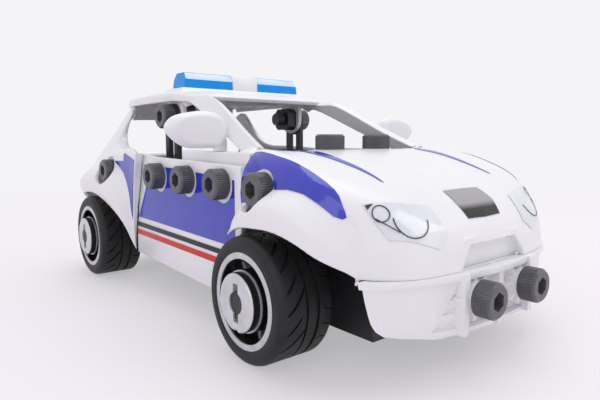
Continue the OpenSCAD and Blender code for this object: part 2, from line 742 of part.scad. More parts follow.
// Flat door that tucks in under the rear quarter, cut clear of the front tyre and drilled for three
// bolts. The rear edge from the top down: shares of the tail length and of the hood height
door_edge_shares = [
  [0.115, 0.96], [0.158, 0.667], [0.17, 0.523], [0.186, 0.455], [0.195, 0.364], [0.195, 0.26]
];
door_edge = [for (s = door_edge_shares) [quarter_x - s[0] * tail_len, height(s[1])]];
door_front = seam_x - panel_gap;
door_dip = 1.4;
door_outline = concat(
  [for (k = [0 : 4]) door_edge[k]],
  [
    [door_edge[5][0], sill_z], [door_front, sill_z - sill_drop], [door_front, door_top],
    [upright_x + upright_w, door_top + door_dip]
  ]
);
module door(side) {
  through = wall + rail_gap + 2 * overrun;
  color(panel_white)
    difference() {
      union() {
        upright_plate(side > 0 ? body_half : wall - body_half, wall) polygon(door_outline);
        for (k = [1 : 3])
          sideways(rail_x(k), rail_y, rail_z, side) cylinder(r = boss_out_r, h = rail_gap + wall / 2);
      }
      sideways(front_x, rail_y - overrun, axle_z, side) cylinder(r = tyre_r + arch_gap, h = through);
      for (k = [1 : 3])
        sideways(rail_x(k), rail_y - overrun, rail_z, side) cylinder(r = hole_r, h = through);
    }
}
module door_right() { door(-1); }
module door_left() { door(1); }

// Boss from the inside of a side panel to its strip, with the flat seat of the bolt head
module side_boss(x, seat_y, side) {
  sideways(x, rail_y, rail_z, side) cylinder(r = boss_out_r, h = seat_y - rail_y, $fn = round_fn);
}
module side_bore(x, seat_y, side) {
  sideways(x, rail_y - overrun, rail_z, side)
    cylinder(r = hole_r, h = seat_y - rail_y + 2 * overrun, $fn = round_fn);
  sideways(x, seat_y, rail_z, side) cylinder(r = pocket_r, h = pocket_depth, $fn = round_fn);
}

// Grille recess in the nose: half widths at top and bottom, and heights
grille_top_half = 12.6;
grille_low_half = 18.4;
grille_top_z = 39.6;
grille_depth = 4.6;
grille_wall = 2;
grille_reach = 2.1;
grille_x = nose_x - grille_depth;
tongue_half = 18;
tongue_drop = 2;
nose_low_z = height(middle_shares[9][2]);
module grille_slab(grow, from_x, to_x, low_z) {
  translate([from_x, 0, 0])
    rotate([90, 0, 90])
      linear_extrude(to_x - from_x)
        polygon([
          [-grille_low_half - grow, low_z], [grille_low_half + grow, low_z],
          [grille_top_half + grow, grille_top_z + grow], [-grille_top_half - grow, grille_top_z + grow]
        ]);
}

// Hood, fenders and nose in one moulding, with its bosses and stiffening ribs
rib_count = 4;
rib_w = 1.4;
rib_drop = 3;
rib_stations = [2, 5];
rib_spread_shares = [0.15, 0.8];
module front_body() {
  color(panel_white)
    difference() {
      union() {
        skin(front_grid, wall, 2 * row_steps);
        for (side = [-1, 1]) {
          side_boss(rail_x(0), body_half, side);
          translate([hood_bolt_x, side * half_pitch, hood_seat_z])
            cylinder(r = pad_r, h = hood_pad_z - hood_seat_z, $fn = round_fn);
          for (k = [0 : rib_count - 1])
            hood_rib(side * mix(rib_spread_shares[0], rib_spread_shares[1], k / (rib_count - 1)));
        }
        grille_slab(grille_wall, grille_x - grille_wall, grille_x + grille_reach, nose_low_z + panel_gap);
        translate([grille_x - grille_wall, -tongue_half, nose_low_z - tongue_drop])
          cube([grille_wall, 2 * tongue_half, tongue_drop + wall]);
      }
      for (side = [-1, 1]) {
        side_bore(rail_x(0), body_half, side);
        translate([hood_bolt_x, side * half_pitch, hood_seat_z - overrun])
          cylinder(r = hole_r, h = hood_pad_z - hood_seat_z + 2 * overrun, $fn = round_fn);
      }
      grille_slab(0, grille_x, nose_x + overrun, nose_low_z - overrun);
    }
}
// Straight rib under the hood, along X at a share of the width of the flat of the hood
module hood_rib(y_share) {
  y = y_share * nose_flat_share * body_half;
  hull() {
    for (t = rib_stations) {
      p = curve_at(front_rails[7], t);
      translate([p[0], y - rib_w / 2, p[2] - wall - rib_drop]) cube([rib_w, rib_w, rib_drop + wall / 2]);
    }
  }
}

// Bumper: a curved wall with a ridge, louvred corners and a ribbed middle that takes two bolts
bumper_plan_shares = [
  [0.785, 0.935], [0.842, 0.89], [0.893, 0.774], [0.928, 0.64], [0.962, 0.47], [0.99, 0.25], [1, 0]
];
bumper_low_z = 14;
bumper_top_z = height(lip_shares[9][2]) - panel_gap;
// Side edge of the bumper from the top down: shares of its depth along X and of its height
bumper_end_shares = [
  [0.06, 1], [0.13, 0.71], [0.23, 0.38], [0.3, 0.25], [0.39, 0.164], [0.5, 0.13], [0.66, 0.066], [0.78, 0]
];
ridge_h = 2;
ridge_proud = 1.2;
post_half = 18.2;
post_thick = 2.4;
post_proud = 0.9;
louvre_top_z = 30;
louvre_low_y = 28.6;
louvre_count = 4;
louvre_depth = 1.2;
louvre_step = 0.7;
louvre_fill_share = 0.6;
bumper_back = 12;
lattice_t = 1.3;
lattice_reach = 7.4;
mid_back = nose_x - bumper_t;
bumper_plan = [for (s = bumper_plan_shares) [seam_x + s[0] * nose_len, -s[1] * body_half]];
bumper_far = turned([for (k = [0 : len(bumper_plan) - 2]) [bumper_plan[k][0], -bumper_plan[k][1]]]);
bumper_line = curve(concat(bumper_plan, bumper_far), row_steps);
bumper_end_x = bumper_plan[0][0];
function line_normal(p, k) =
  let (d = p[min(k + 1, len(p) - 1)] - p[max(k - 1, 0)])
  unit([d[1], -d[0]]);
function line_offset(p, t) = [for (k = [0 : len(p) - 1]) p[k] + t * line_normal(p, k)];
module bumper_wall(out, in, low, high) {
  translate([0, 0, low])
    linear_extrude(high - low)
      polygon(concat(line_offset(bumper_line, out), turned(line_offset(bumper_line, -in))));
}
module front_bumper() {
  tall = bumper_top_z - bumper_low_z;
  color(panel_white)
    difference() {
      union() {
        difference() {
          bumper_wall(0, wall, bumper_low_z, bumper_top_z);
          for (side = [-1, 1]) louvre_prism(side, 0);
          translate([mid_back + lattice_t, -post_half, bumper_low_z + lattice_t])
            cube([bumper_t + overrun, 2 * post_half, tall - ridge_h - lattice_t]);
        }
        bumper_wall(ridge_proud, wall, bumper_top_z - ridge_h, bumper_top_z);
        translate([mid_back, -post_half, bumper_low_z])
          cube([lattice_t, 2 * post_half, tall]);
        translate([mid_back, -lattice_t, bumper_low_z])
          cube([bumper_t + post_proud, 2 * lattice_t, tall]);
        for (side = [-1, 1]) {
          translate([mid_back, side * post_half - post_thick / 2, bumper_low_z])
            cube([bumper_t + post_proud, post_thick, tall]);
          louvres(side);
          bolt_lattice(side);
        }
      }
      for (side = [-1, 1])
        translate([mid_back - overrun, side * half_pitch, bumper_bolt_z])
          rotate([0, 90, 0]) cylinder(r = hole_r, h = bumper_t + boss_proud + 2 * overrun);
      bumper_ends();
    }
}
// Ring and spokes round one bumper bolt
module bolt_lattice(side) {
  translate([mid_back, side * half_pitch, bumper_bolt_z])
    rotate([0, 90, 0]) {
      cylinder(r = hole_r + lattice_t, h = bumper_t + boss_proud);
      for (a = [0 : 45 : 135])
        rotate([0, 0, a])
          translate([-lattice_reach, -lattice_t / 2, 0])
            cube([2 * lattice_reach, lattice_t, bumper_t]);
    }
}
// Triangle beside a post, through the wall
module louvre_prism(side, grow) {
  y = post_half + post_thick / 4;
  low_z = bumper_low_z + wall - grow;
  translate([nose_x - bumper_back, 0, 0])
    rotate([90, 0, 90])
      linear_extrude(bumper_back + overrun)
        polygon([
          [side * y, low_z], [side * (louvre_low_y + 2 * grow), low_z], [side * y, louvre_top_z + 2 * grow]
        ]);
}
// Floor of the triangle and the slats that stand on it
module louvres(side) {
  step = (louvre_top_z - bumper_low_z) / louvre_count;
  intersection() {
    bumper_wall(-louvre_depth, wall + louvre_depth, bumper_low_z + wall / 2, louvre_top_z + wall);
    louvre_prism(side, wall / 2);
  }
  intersection() {
    for (k = [0 : louvre_count - 1])
      bumper_wall(
        -louvre_step, wall, bumper_low_z + k * step, bumper_low_z + (k + louvre_fill_share) * step
      );
    louvre_prism(side, wall / 4);
  }
}
// Cut that rounds the lower side corners
module bumper_ends() {
  tall = bumper_top_z - bumper_low_z;
  edge = [
    for (s = bumper_end_shares)
      [mix(bumper_end_x, nose_x, s[0]), bumper_low_z + s[1] * tall]
  ];
  upright_plate(2 * body_half, 4 * body_half)
    polygon(concat(
      [[edge[0][0], bumper_top_z + overrun]], edge,
      [
        [edge[7][0], bumper_low_z - overrun], [bumper_end_x - bumper_back, bumper_low_z - overrun],
        [bumper_end_x - bumper_back, bumper_top_z + overrun]
      ]
    ));
}

// Roof, windscreen pillars and window sills in one moulding, with a tab for each upright
sill_top = shoulder_h - panel_gap;
sill_low = rail_z + nut_w / 2 + panel_gap;
sill_lip_z = rail_z + rail_w / 2 + panel_gap;
sill_depth = 6.5;
sill_in_y = rail_y - sill_depth;
sill_lip = strip_t - panel_gap;
sill_reach_share = 0.377;
roof_rib_count = 3;
roof_rib_h = 3;
roof_rib_drop = 4.2;
roof_rib_lean = 1.4;
tab_root = 4.8;
module cabin_shell() {
  color(panel_white)
    difference() {
      union() {
        skin(roof_grid, wall);
        skin(header_grid, wall);
        skin(pillar_grid, pillar_t);
        skin([for (row = pillar_grid) flip_y(turned(row))], pillar_t);
        bar_seat();
        for (side = [-1, 1]) {
          window_sill(side);
          roof_tab(side);
          for (k = [0 : roof_rib_count - 1]) roof_rib(k, side);
        }
      }
      for (side = [-1, 1])
        sideways(upright_x, tab_in_y - overrun, upright_bolt_z, side)
          cylinder(r = hole_r, h = tab_t + 2 * overrun, $fn = round_fn);
    }
}
// Flat seat of the light bar on the roof
seat_margin = 1.5;
seat_t = wall / 8;
module bar_seat() {
  hull() {
    for (z = [roof_h - wall, roof_h]) {
      grow = seat_margin + roof_h - z;
      translate([upright_x - bar_d / 2 - grow, -bar_half - grow, z - seat_t])
        cube([bar_d + 2 * grow, 2 * (bar_half + grow), seat_t]);
    }
  }
}
module window_sill(side) {
  x0 = upright_x + sill_reach_share * screen_len;
  x1 = seam_x - panel_gap;
  foot = pillar_t * 2;
  translate([x0, side > 0 ? sill_in_y : -rail_y, sill_low])
    cube([x1 - x0, sill_depth, sill_top - sill_low]);
  translate([x0, side > 0 ? rail_y - sill_lip : -rail_y, sill_lip_z])
    cube([x1 - x0, sill_lip, sill_top - sill_lip_z]);
  hull() {
    translate([x1 - foot, side > 0 ? sill_in_y : -rail_y, sill_low])
      cube([foot, rail_y - sill_in_y, sill_top - sill_low]);
    translate([x1 - foot, side > 0 ? sill_in_y : -sill_in_y - wall, sill_low])
      cube([foot / 2, wall, sill_top - sill_low + wall]);
  }
}
module roof_tab(side) {
  hull() {
    sideways(upright_x, tab_in_y, upright_bolt_z, side)
      cylinder(d = tab_w, h = tab_t, $fn = round_fn);
    translate([upright_x - tab_w / 2, side > 0 ? tab_in_y : -tab_in_y - tab_t, roof_h - tab_root])
      cube([tab_w, tab_t, wall / 2]);
  }
}
module roof_rib(k, side) {
  x = upright_x - (k + 1) * upright_w;
  hull() {
    for (s = rib_spread_shares)
      translate([x, side * s * roof_half - wall / 2, roof_h - roof_rib_drop - s * roof_rib_lean])
        cube([rib_w, wall, roof_rib_h]);
  }
}

// Rear quarters, pillars and tail in one moulding. The front edge of each quarter turns in as a jamb
// that closes it to the door
jamb_y = body_half + panel_gap;
function jamb_row(out, in) =
  [
    for (j = [0 : len(out) - 1])
      abs(in[j][1]) > jamb_y ? [out[j][0], sign(out[j][1]) * jamb_y, out[j][2]] : in[j]
  ];
rear_plain = inner_grid(rear_grid, wall, 0);
rear_last = len(rear_grid) - 1;
rear_inner = [
  for (i = [0 : rear_last])
    i == 0 || i == rear_last ? jamb_row(rear_grid[i], rear_plain[i]) : rear_plain[i]
];
tail_rib_shares = [0.12, 0.5];
tail_rib_in = 2.4;
module rear_body() {
  seat = body_half + rear_pad_rise;
  color(panel_white)
    difference() {
      union() {
        shell(rear_grid, rear_inner);
        for (side = [-1, 1]) {
          side_boss(rail_x(5), seat, side);
          for (k = [0 : rib_count - 1])
            tail_rib(side * mix(tail_rib_shares[0], tail_rib_shares[1], k / (rib_count - 1)));
        }
      }
      for (side = [-1, 1]) side_bore(rail_x(5), seat, side);
    }
}
// Upright rib inside the tail, at a share of the half width
module tail_rib(y_share) {
  y = y_share * body_half;
  hull() {
    translate([tail_x + tail_rib_in, y - rib_w / 2, rear_point(rear_lip_shares[11])[2] + wall])
      cube([rib_drop, rib_w, rib_w]);
    translate([tail_x + tail_rib_in, y - rib_w / 2, rear_point(rear_crease_shares[11])[2]])
      cube([rib_drop, rib_w, rib_w]);
  }
}

// Mirror: a rounded paddle across the car on a short foot that stands on the window sill
mirror_shares = [
  [0.05, 0.02], [0.36, 0], [0.64, 0.01], [0.83, 0.15], [0.985, 0.42], [1, 0.62], [0.86, 0.86],
  [0.5, 1], [0.22, 0.98], [0.05, 0.82], [0, 0.5], [0.01, 0.2]
];
mirror_layers = 4;
mirror_thin_share = 0.62;
mirror_round_shares = [0.12, 0.88];
mirror_mid_shares = [0.48, 0.46];
mirror_loop_steps = 3;
mirror_lift = 1.2;
mirror_base_z = sill_top + mirror_lift;
function mirror_ring(k) =
  let (
    t = k / mirror_layers,
    full = sin(180 * mix(mirror_round_shares[0], mirror_round_shares[1], t)),
    size = mix(mirror_thin_share, 1, full),
    n = len(mirror_shares),
    loop = curve([for (i = [0 : n]) mirror_shares[i % n]], mirror_loop_steps),
    mid = mirror_mid_shares
  )
  [
    for (i = [0 : len(loop) - 2])
      let (s = mid + (loop[i] - mid) * size)
        [mirror_t * (t - 0.5), -mirror_in - s[0] * mirror_reach, mirror_base_z + s[1] * mirror_h]
  ];
module mirror_body() {
  rings = [for (k = [0 : mirror_layers]) mirror_ring(k)];
  n = len(rings[0]);
  caps = [[for (i = [n - 1 : -1 : 0]) i], [for (i = [0 : n - 1]) mirror_layers * n + i]];
  walls = [
    for (k = [0 : mirror_layers - 1])
      for (i = [0 : n - 1])
        let (a = k * n + i, b = k * n + (i + 1) % n)
          each [[a, b, b + n], [a, b + n, a + n]]
  ];
  translate([front_x - mirror_back, 0, 0]) {
    polyhedron(points = flat(rings), faces = concat(caps, walls), convexity = 4);
    translate([-mirror_t / 4, -rail_y + panel_gap, sill_top])
      cube([mirror_t / 2, mirror_t, mirror_h / 3]);
  }
}
module mirror_right() { color(panel_white) mirror_body(); }
module mirror_left() { color(panel_white) mirror([0, 1, 0]) mirror_body(); }

// Light bar

module bar_profile(from_y, to_y, grow) {
  low = bar_d / 2 + grow;
  high = bar_d / 2 - bar_slope + grow;
  translate([upright_x, to_y, roof_h])
    rotate([90, 0, 0])
      linear_extrude(to_y - from_y)
        polygon([
          [-low, 0], [low, 0], [low, bar_wall_h], [high, bar_h + grow], [-high, bar_h + grow], [-low, bar_wall_h]
        ]);
}
cap_proud = 0.3;
module light_bar_cap() {
  color(panel_white) bar_profile(-bar_mid_half, bar_mid_half, cap_proud);
}
module light_bar_lens(side) {
  near = bar_mid_half + nut_play;
  color(lens_blue)
    intersection() {
      bar_profile(side > 0 ? near : -bar_half, side > 0 ? bar_half : -near, 0);
      translate([upright_x - bar_d, 0, roof_h])
        rotate([90, 0, 90])
          linear_extrude(2 * bar_d)
            polygon([
              [side * near, 0], [side * bar_half, 0],
              [side * (bar_half - bar_slope / 2), bar_h], [side * near, bar_h]
            ]);
    }
}
module light_bar_lens_right() { light_bar_lens(-1); }
module light_bar_lens_left() { light_bar_lens(1); }

// Wheels and axles, each made along Z as the distance from the middle plane

rim_face = tyre_face - rim_inset;
hub_face = rim_face + hub_proud;
tyre_in = tyre_face - tyre_w;
groove_w = 1.2;
groove_d = 1;
function tyre_arc(steps) =
  [
    for (k = [0 : steps])
      let (a = 90 * k / steps)
        [tyre_r, tyre_face] + tyre_shoulder * [cos(a) - 1, sin(a) - 1]
  ];
tread_shares = [0.22, 0.4, 0.52];
tyre_arc_steps = 5;
module tyre() {
  tread_z = [for (s = tread_shares) tyre_in + s * tyre_w];
  color(tyre_black)
    rotate_extrude()
      polygon(concat(
        [
          [seat_r + seat_play, tyre_in], [tyre_r - tyre_shoulder / 2, tyre_in],
          [tyre_r, tyre_in + tyre_shoulder / 2]
        ],
        [
          for (z = tread_z)
            each [
              [tyre_r, z - groove_w / 2], [tyre_r - groove_d, z - groove_w / 4],
              [tyre_r - groove_d, z + groove_w / 4], [tyre_r, z + groove_w / 2]
            ]
        ],
        tyre_arc(tyre_arc_steps),
        [
          [rim_r + seat_play, tyre_face], [rim_r + seat_play, rim_face - flange_t - seat_play],
          [seat_r + seat_play, rim_face - flange_t - seat_play]
        ]
      ));
}
side_play = 0.3;
boss_low = spine_half + side_play;
spoke_z = rim_face - spoke_depth - spoke_t;
boss_top = hub_face - hub_t;
neck_wall = 2.6;
spoke_lean = 14;
spoke_inset = 0.3;
module wheel() {
  color(rim_silver)
    difference() {
      union() {
        rotate_extrude()
          polygon([
            [barrel_r, tyre_in], [seat_r, tyre_in], [seat_r, rim_face - flange_t],
            [rim_r, rim_face - flange_t], [rim_r, rim_face], [barrel_r, rim_face]
          ]);
        translate([0, 0, boss_low]) cylinder(r = axle_r + neck_wall, h = spoke_z + spoke_inset - boss_low);
        translate([0, 0, spoke_z]) cylinder(r = boss_r, h = boss_top - spoke_z);
        for (p = [0 : spoke_pairs - 1])
          for (lean = [-1, 1])
            rotate([0, 0, 360 * p / spoke_pairs + lean * spoke_lean])
              translate([axle_r + neck_wall, -spoke_w / 2, spoke_z + spoke_inset])
                cube([(barrel_r + seat_r) / 2 - axle_r - neck_wall, spoke_w, spoke_t - 2 * spoke_inset]);
      }
      translate([0, 0, boss_low - overrun])
        cylinder(r = axle_r + seat_play, h = boss_top - boss_low + 2 * overrun);
    }
}
hub_chamfer = 0.6;
keyway_play = 0.15;
keyway_room = 0.9;
keyway_r = key_r + keyway_room;
hub_notch_w = 2;
hub_notch_d = 1.1;
module hub() {
  color(rim_silver)
    translate([0, 0, boss_top])
      difference() {
        union() {
          cylinder(r = hub_r, h = hub_t - hub_chamfer);
          translate([0, 0, hub_t - hub_chamfer])
            cylinder(r1 = hub_r, r2 = hub_r - hub_chamfer, h = hub_chamfer);
        }
        translate([0, 0, -overrun]) cylinder(r = axle_r + seat_play, h = hub_t + 2 * overrun);
        translate([-key_w / 2 - keyway_play, -keyway_r, -overrun])
          cube([key_w + 2 * keyway_play, 2 * keyway_r, hub_t + 2 * overrun]);
        translate([-hub_notch_w / 2, -hub_r - overrun, -overrun])
          cube([hub_notch_w, hub_notch_d + overrun, hub_t + 2 * overrun]);
      }
}
module axle(x) {
  end = hub_face - axle_inset;
  key_len = end - boss_top - seat_play;
  color(frame_black)
    translate([x, 0, axle_z]) {
      rotate([90, 0, 0]) translate([0, 0, -end]) cylinder(r = axle_r, h = 2 * end);
      for (side = [-1, 1])
        rotate([-90 * side, 0, 0])
          translate([-key_w / 2, side > 0 ? 0 : -key_r, end - key_len]) cube([key_w, key_r, key_len]);
    }
}
module front_axle() { axle(front_x); }
module rear_axle() { axle(rear_x); }
module front_wheel_right() { sideways(front_x, 0, axle_z, -1) wheel(); }
module front_wheel_left() { sideways(front_x, 0, axle_z, 1) wheel(); }
module front_tyre_right() { sideways(front_x, 0, axle_z, -1) tyre(); }
module front_tyre_left() { sideways(front_x, 0, axle_z, 1) tyre(); }
module front_hub_right() { sideways(front_x, 0, axle_z, -1) hub(); }
module front_hub_left() { sideways(front_x, 0, axle_z, 1) hub(); }
module rear_wheel_right() { sideways(rear_x, 0, axle_z, -1) wheel(); }
module rear_wheel_left() { sideways(rear_x, 0, axle_z, 1) wheel(); }
module rear_tyre_right() { sideways(rear_x, 0, axle_z, -1) tyre(); }
module rear_tyre_left() { sideways(rear_x, 0, axle_z, 1) tyre(); }
module rear_hub_right() { sideways(rear_x, 0, axle_z, -1) hub(); }
module rear_hub_left() { sideways(rear_x, 0, axle_z, 1) hub(); }

chassis();
front_bracket();
hood_bracket();
side_strip_right();
side_strip_left();
cabin_upright_right();
cabin_upright_left();
front_body();
front_bumper();
cabin_shell();
rear_body();
door_right();
door_left();
mirror_right();
mirror_left();
light_bar_cap();
light_bar_lens_right();
light_bar_lens_left();
door_bolts_right();
door_bolts_left();
fender_bolts();
rear_fender_bolts();
hood_bolts();
bumper_bolts();
upright_bolts();
door_nuts_right();
door_nuts_left();
fender_nuts();
rear_fender_nuts();
hood_nuts();
bumper_nuts();
upright_nuts();
front_axle();
front_wheel_right();
front_wheel_left();
front_tyre_right();
front_tyre_left();
front_hub_right();
front_hub_left();
rear_axle();
rear_wheel_right();
rear_wheel_left();
rear_tyre_right();
rear_tyre_left();
rear_hub_right();
rear_hub_left();
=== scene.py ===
import math
import bpy
from mathutils import Matrix, Vector


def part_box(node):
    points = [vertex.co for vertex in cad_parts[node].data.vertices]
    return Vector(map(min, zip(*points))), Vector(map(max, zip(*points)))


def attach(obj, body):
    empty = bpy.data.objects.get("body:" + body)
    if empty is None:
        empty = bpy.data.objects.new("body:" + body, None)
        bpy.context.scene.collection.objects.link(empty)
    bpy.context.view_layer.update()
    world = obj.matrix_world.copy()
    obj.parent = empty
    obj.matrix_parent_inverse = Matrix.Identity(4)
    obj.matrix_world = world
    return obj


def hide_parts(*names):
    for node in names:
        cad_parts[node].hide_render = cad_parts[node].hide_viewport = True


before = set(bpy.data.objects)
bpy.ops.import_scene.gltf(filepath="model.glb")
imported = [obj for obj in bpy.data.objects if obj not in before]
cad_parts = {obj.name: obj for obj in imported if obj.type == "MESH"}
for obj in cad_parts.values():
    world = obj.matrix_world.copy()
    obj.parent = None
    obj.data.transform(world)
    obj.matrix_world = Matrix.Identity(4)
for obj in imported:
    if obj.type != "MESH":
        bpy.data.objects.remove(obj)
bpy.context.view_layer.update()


# Chassis, brackets, rails and uprights: the black skeleton that everything else bolts to.
# It is injection-moulded black nylon with a fine satin grain and a faint cloud in its tone.
def moulded(name, deep, pale, mottle, grain, rough, height):
    """A moulded plastic: two close tones in soft clouds, and a fine grain in its gloss and relief."""
    gloss_swing, grain_strength = 0.06, 0.35
    material = bpy.data.materials.new(name)
    material.use_nodes = True
    nodes, links = material.node_tree.nodes, material.node_tree.links
    shader = nodes["Principled BSDF"]
    place = nodes.new("ShaderNodeTexCoord")
    clouds = nodes.new("ShaderNodeTexNoise")
    clouds.inputs["Scale"].default_value = mottle
    clouds.inputs["Detail"].default_value = 4
    tones = nodes.new("ShaderNodeValToRGB")
    for stop, position, tone in zip(tones.color_ramp.elements, (0.3, 0.7), (deep, pale)):
        stop.position = position
        stop.color = (*tone, 1)
    specks = nodes.new("ShaderNodeTexNoise")
    specks.inputs["Scale"].default_value = grain
    specks.inputs["Detail"].default_value = 3
    gloss = nodes.new("ShaderNodeMapRange")
    gloss.inputs["To Min"].default_value = rough - gloss_swing
    gloss.inputs["To Max"].default_value = rough + gloss_swing
    relief = nodes.new("ShaderNodeBump")
    relief.inputs["Strength"].default_value = grain_strength
    relief.inputs["Distance"].default_value = height
    links.new(place.outputs["Object"], clouds.inputs["Vector"])
    links.new(place.outputs["Object"], specks.inputs["Vector"])
    links.new(clouds.outputs["Fac"], tones.inputs["Fac"])
    links.new(tones.outputs["Color"], shader.inputs["Base Color"])
    links.new(specks.outputs["Fac"], gloss.inputs["Value"])
    links.new(gloss.outputs["Result"], shader.inputs["Roughness"])
    links.new(specks.outputs["Fac"], relief.inputs["Height"])
    links.new(relief.outputs["Normal"], shader.inputs["Normal"])
    return material


def dress(material, *names):
    """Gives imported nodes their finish."""
    for name in names:
        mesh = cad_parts[name].data
        mesh.materials.clear()
        mesh.materials.append(material)


black_nylon = moulded("black_nylon", (0.012, 0.012, 0.014), (0.02, 0.02, 0.023),
                      mottle=60, grain=1900, rough=0.42, height=0.00004)
dress(black_nylon, "chassis", "front_bracket", "hood_bracket", "side_strip_right", "side_strip_left",
      "cabin_upright_right", "cabin_upright_left")


# Axles: straight black rods with a key along each end, pushed through the chassis.
# They are the same black nylon as the chassis, a little darker and smoother.
axle_black = moulded("axle_black", (0.006, 0.006, 0.007), (0.012, 0.012, 0.013),
                     mottle=90, grain=2400, rough=0.4, height=0.00002)
dress(axle_black, "front_axle", "rear_axle")


# Wheels: one moulded rim each, with a rolled ring, five pairs of thin spokes and a deep barrel.
# They are pale grey plastic with a metallic flake; the barrel walls behind the ring and the side of the
# boss are painted black as shade.
def wired(tree, kind, operation, *sources):
    """A node for one operation, each of its inputs fed by a socket or set to a constant."""
    node = tree.nodes.new(kind)
    node.operation = operation
    for socket, source in zip(node.inputs, sources):
        if isinstance(source, bpy.types.NodeSocket):
            tree.links.new(source, socket)
        else:
            socket.default_value = source
    return node


def paint_shade(finish, axle_x, radius, margin, depth):
    """Paints shade: blackens walls within a margin of one radius about an axle, nearer the middle than
    depth, in mm.
    """
    tree = finish.node_tree
    centred = tree.nodes.new("ShaderNodeMapping")
    centred.inputs["Location"].default_value = (-axle_x / 1000, 0, -axle_z / 1000)
    tree.links.new(tree.nodes["Texture Coordinate"].outputs["Object"], centred.inputs["Vector"])
    split = tree.nodes.new("ShaderNodeSeparateXYZ")
    tree.links.new(centred.outputs["Vector"], split.inputs["Vector"])
    spun = wired(tree, "ShaderNodeVectorMath", "MULTIPLY", centred.outputs["Vector"], (1, 0, 1))
    reach = wired(tree, "ShaderNodeVectorMath", "LENGTH", spun.outputs["Vector"])
    wall = wired(tree, "ShaderNodeMath", "COMPARE", reach.outputs["Value"], radius / 1000, margin / 1000)
    side = wired(tree, "ShaderNodeMath", "ABSOLUTE", split.outputs["Y"])
    behind = wired(tree, "ShaderNodeMath", "LESS_THAN", side.outputs["Value"], depth / 1000)
    shade_mask = wired(tree, "ShaderNodeMath", "MULTIPLY", wall.outputs["Value"], behind.outputs["Value"])
    shade = tree.nodes.new("ShaderNodeMix")
    shade.data_type = "RGBA"
    shade.inputs["B"].default_value = painted_shade_black
    colour = tree.nodes["Principled BSDF"].inputs["Base Color"]
    tree.links.new(colour.links[0].from_socket, shade.inputs["A"])
    tree.links.new(shade_mask.outputs["Value"], shade.inputs["Factor"])
    tree.links.new(shade.outputs["Result"], colour)


axles = (("front", 57.8), ("rear", -85.2))
axle_z = 20.35
painted_shade_black = (0.02, 0.02, 0.022, 1)
for axle, axle_x in axles:
    rim = moulded(f"{axle}_rim_silver", (0.5, 0.5, 0.53), (0.62, 0.62, 0.66),
                  mottle=220, grain=3200, rough=0.28, height=0.00002)
    rim.node_tree.nodes["Principled BSDF"].inputs["Metallic"].default_value = 0.4
    # Painted shade: the barrel wall behind the ring and the side of the boss are blackened.
    paint_shade(rim, axle_x, radius=14.4, margin=1.2, depth=60.4)
    paint_shade(rim, axle_x, radius=9.9, margin=0.15, depth=60.2)
    dress(rim, f"{axle}_wheel_right", f"{axle}_wheel_left")


# Hubs: keyed grey discs that push on to the axle ends and lock the wheels.
# They are a plainer grey than the rims, slightly scuffed, with painted shade on their side wall.
for axle, axle_x in axles:
    hub = moulded(f"{axle}_hub_grey", (0.56, 0.56, 0.59), (0.7, 0.7, 0.73),
                  mottle=150, grain=1500, rough=0.34, height=0.00004)
    hub.node_tree.nodes["Principled BSDF"].inputs["Metallic"].default_value = 0.35
    # Painted shade: the hub's side wall is blackened.
    paint_shade(hub, axle_x, radius=9.4, margin=0.3, depth=63.1)
    dress(hub, f"{axle}_hub_right", f"{axle}_hub_left")


# Tyres: soft black rubber rings with a smooth rounded wall, curved slanting grooves in the outer half
# of the tread, two grooves round it and short blocks on the inner edge. Each is stretched over its rim.
def take_up(piece):
    """Leaves this piece alone selected and active."""
    bpy.ops.object.select_all(action="DESELECT")
    piece.select_set(True)
    bpy.context.view_layer.objects.active = piece


def open_whole():
    """Goes into edit mode on the active piece, with all of it selected."""
    bpy.ops.object.mode_set(mode="EDIT")
    bpy.ops.mesh.select_all(action="SELECT")


def settle(piece):
    """Applies every modifier of a piece, in order."""
    take_up(piece)
    for modifier in list(piece.modifiers):
        bpy.ops.object.modifier_apply(modifier=modifier.name)


def cut_away(piece, cutter):
    """Takes one closed mesh out of another."""
    cut = piece.modifiers.new("cut", "BOOLEAN")
    cut.object = cutter
    cut.solver = "EXACT"
    settle(piece)
    bpy.data.objects.remove(cutter)


def own_copy(piece, name, place):
    """Another of the same piece, with a mesh of its own put in its place."""
    twin = bpy.data.objects.new(name, piece.data.copy())
    bpy.context.collection.objects.link(twin)
    twin.data.transform(place)
    return twin


def tread_cut(start, end, width, rise, curl, count):
    """Slanting grooves round the tread: from start to end across it, climbing by rise along it."""
    slant, end_taper = 0.7, 0.5
    bpy.ops.mesh.primitive_grid_add(x_subdivisions=10, y_subdivisions=1, size=1)
    bpy.ops.object.mode_set(mode="EDIT")
    bpy.ops.mesh.extrude_region_move(TRANSFORM_OT_translate={"value": (0, 0, 1)})
    bpy.ops.object.mode_set(mode="OBJECT")
    groove = bpy.context.object
    for vertex in groove.data.vertices:
        along, across, deep = vertex.co.x + 0.5, vertex.co.y, vertex.co.z
        spread = across * width * slant * (1 - end_taper * abs(2 * along - 1) ** 3)
        angle = (rise * (along + curl * along * (along - 1)) + spread) / tyre_r
        radius = tyre_r - groove_depth + deep * 2 * groove_depth
        side = start + (end - start) * along - spread
        vertex.co = Vector((radius * math.cos(angle), side - tyre_outer, radius * math.sin(angle))) / 1000
    open_whole()
    bpy.ops.mesh.normals_make_consistent(inside=False)
    bpy.ops.mesh.spin(steps=count - 1, dupli=True, angle=2 * math.pi * (count - 1) / count,
                      center=(0, 0, 0), axis=(0, 1, 0))
    bpy.ops.object.mode_set(mode="OBJECT")
    return groove


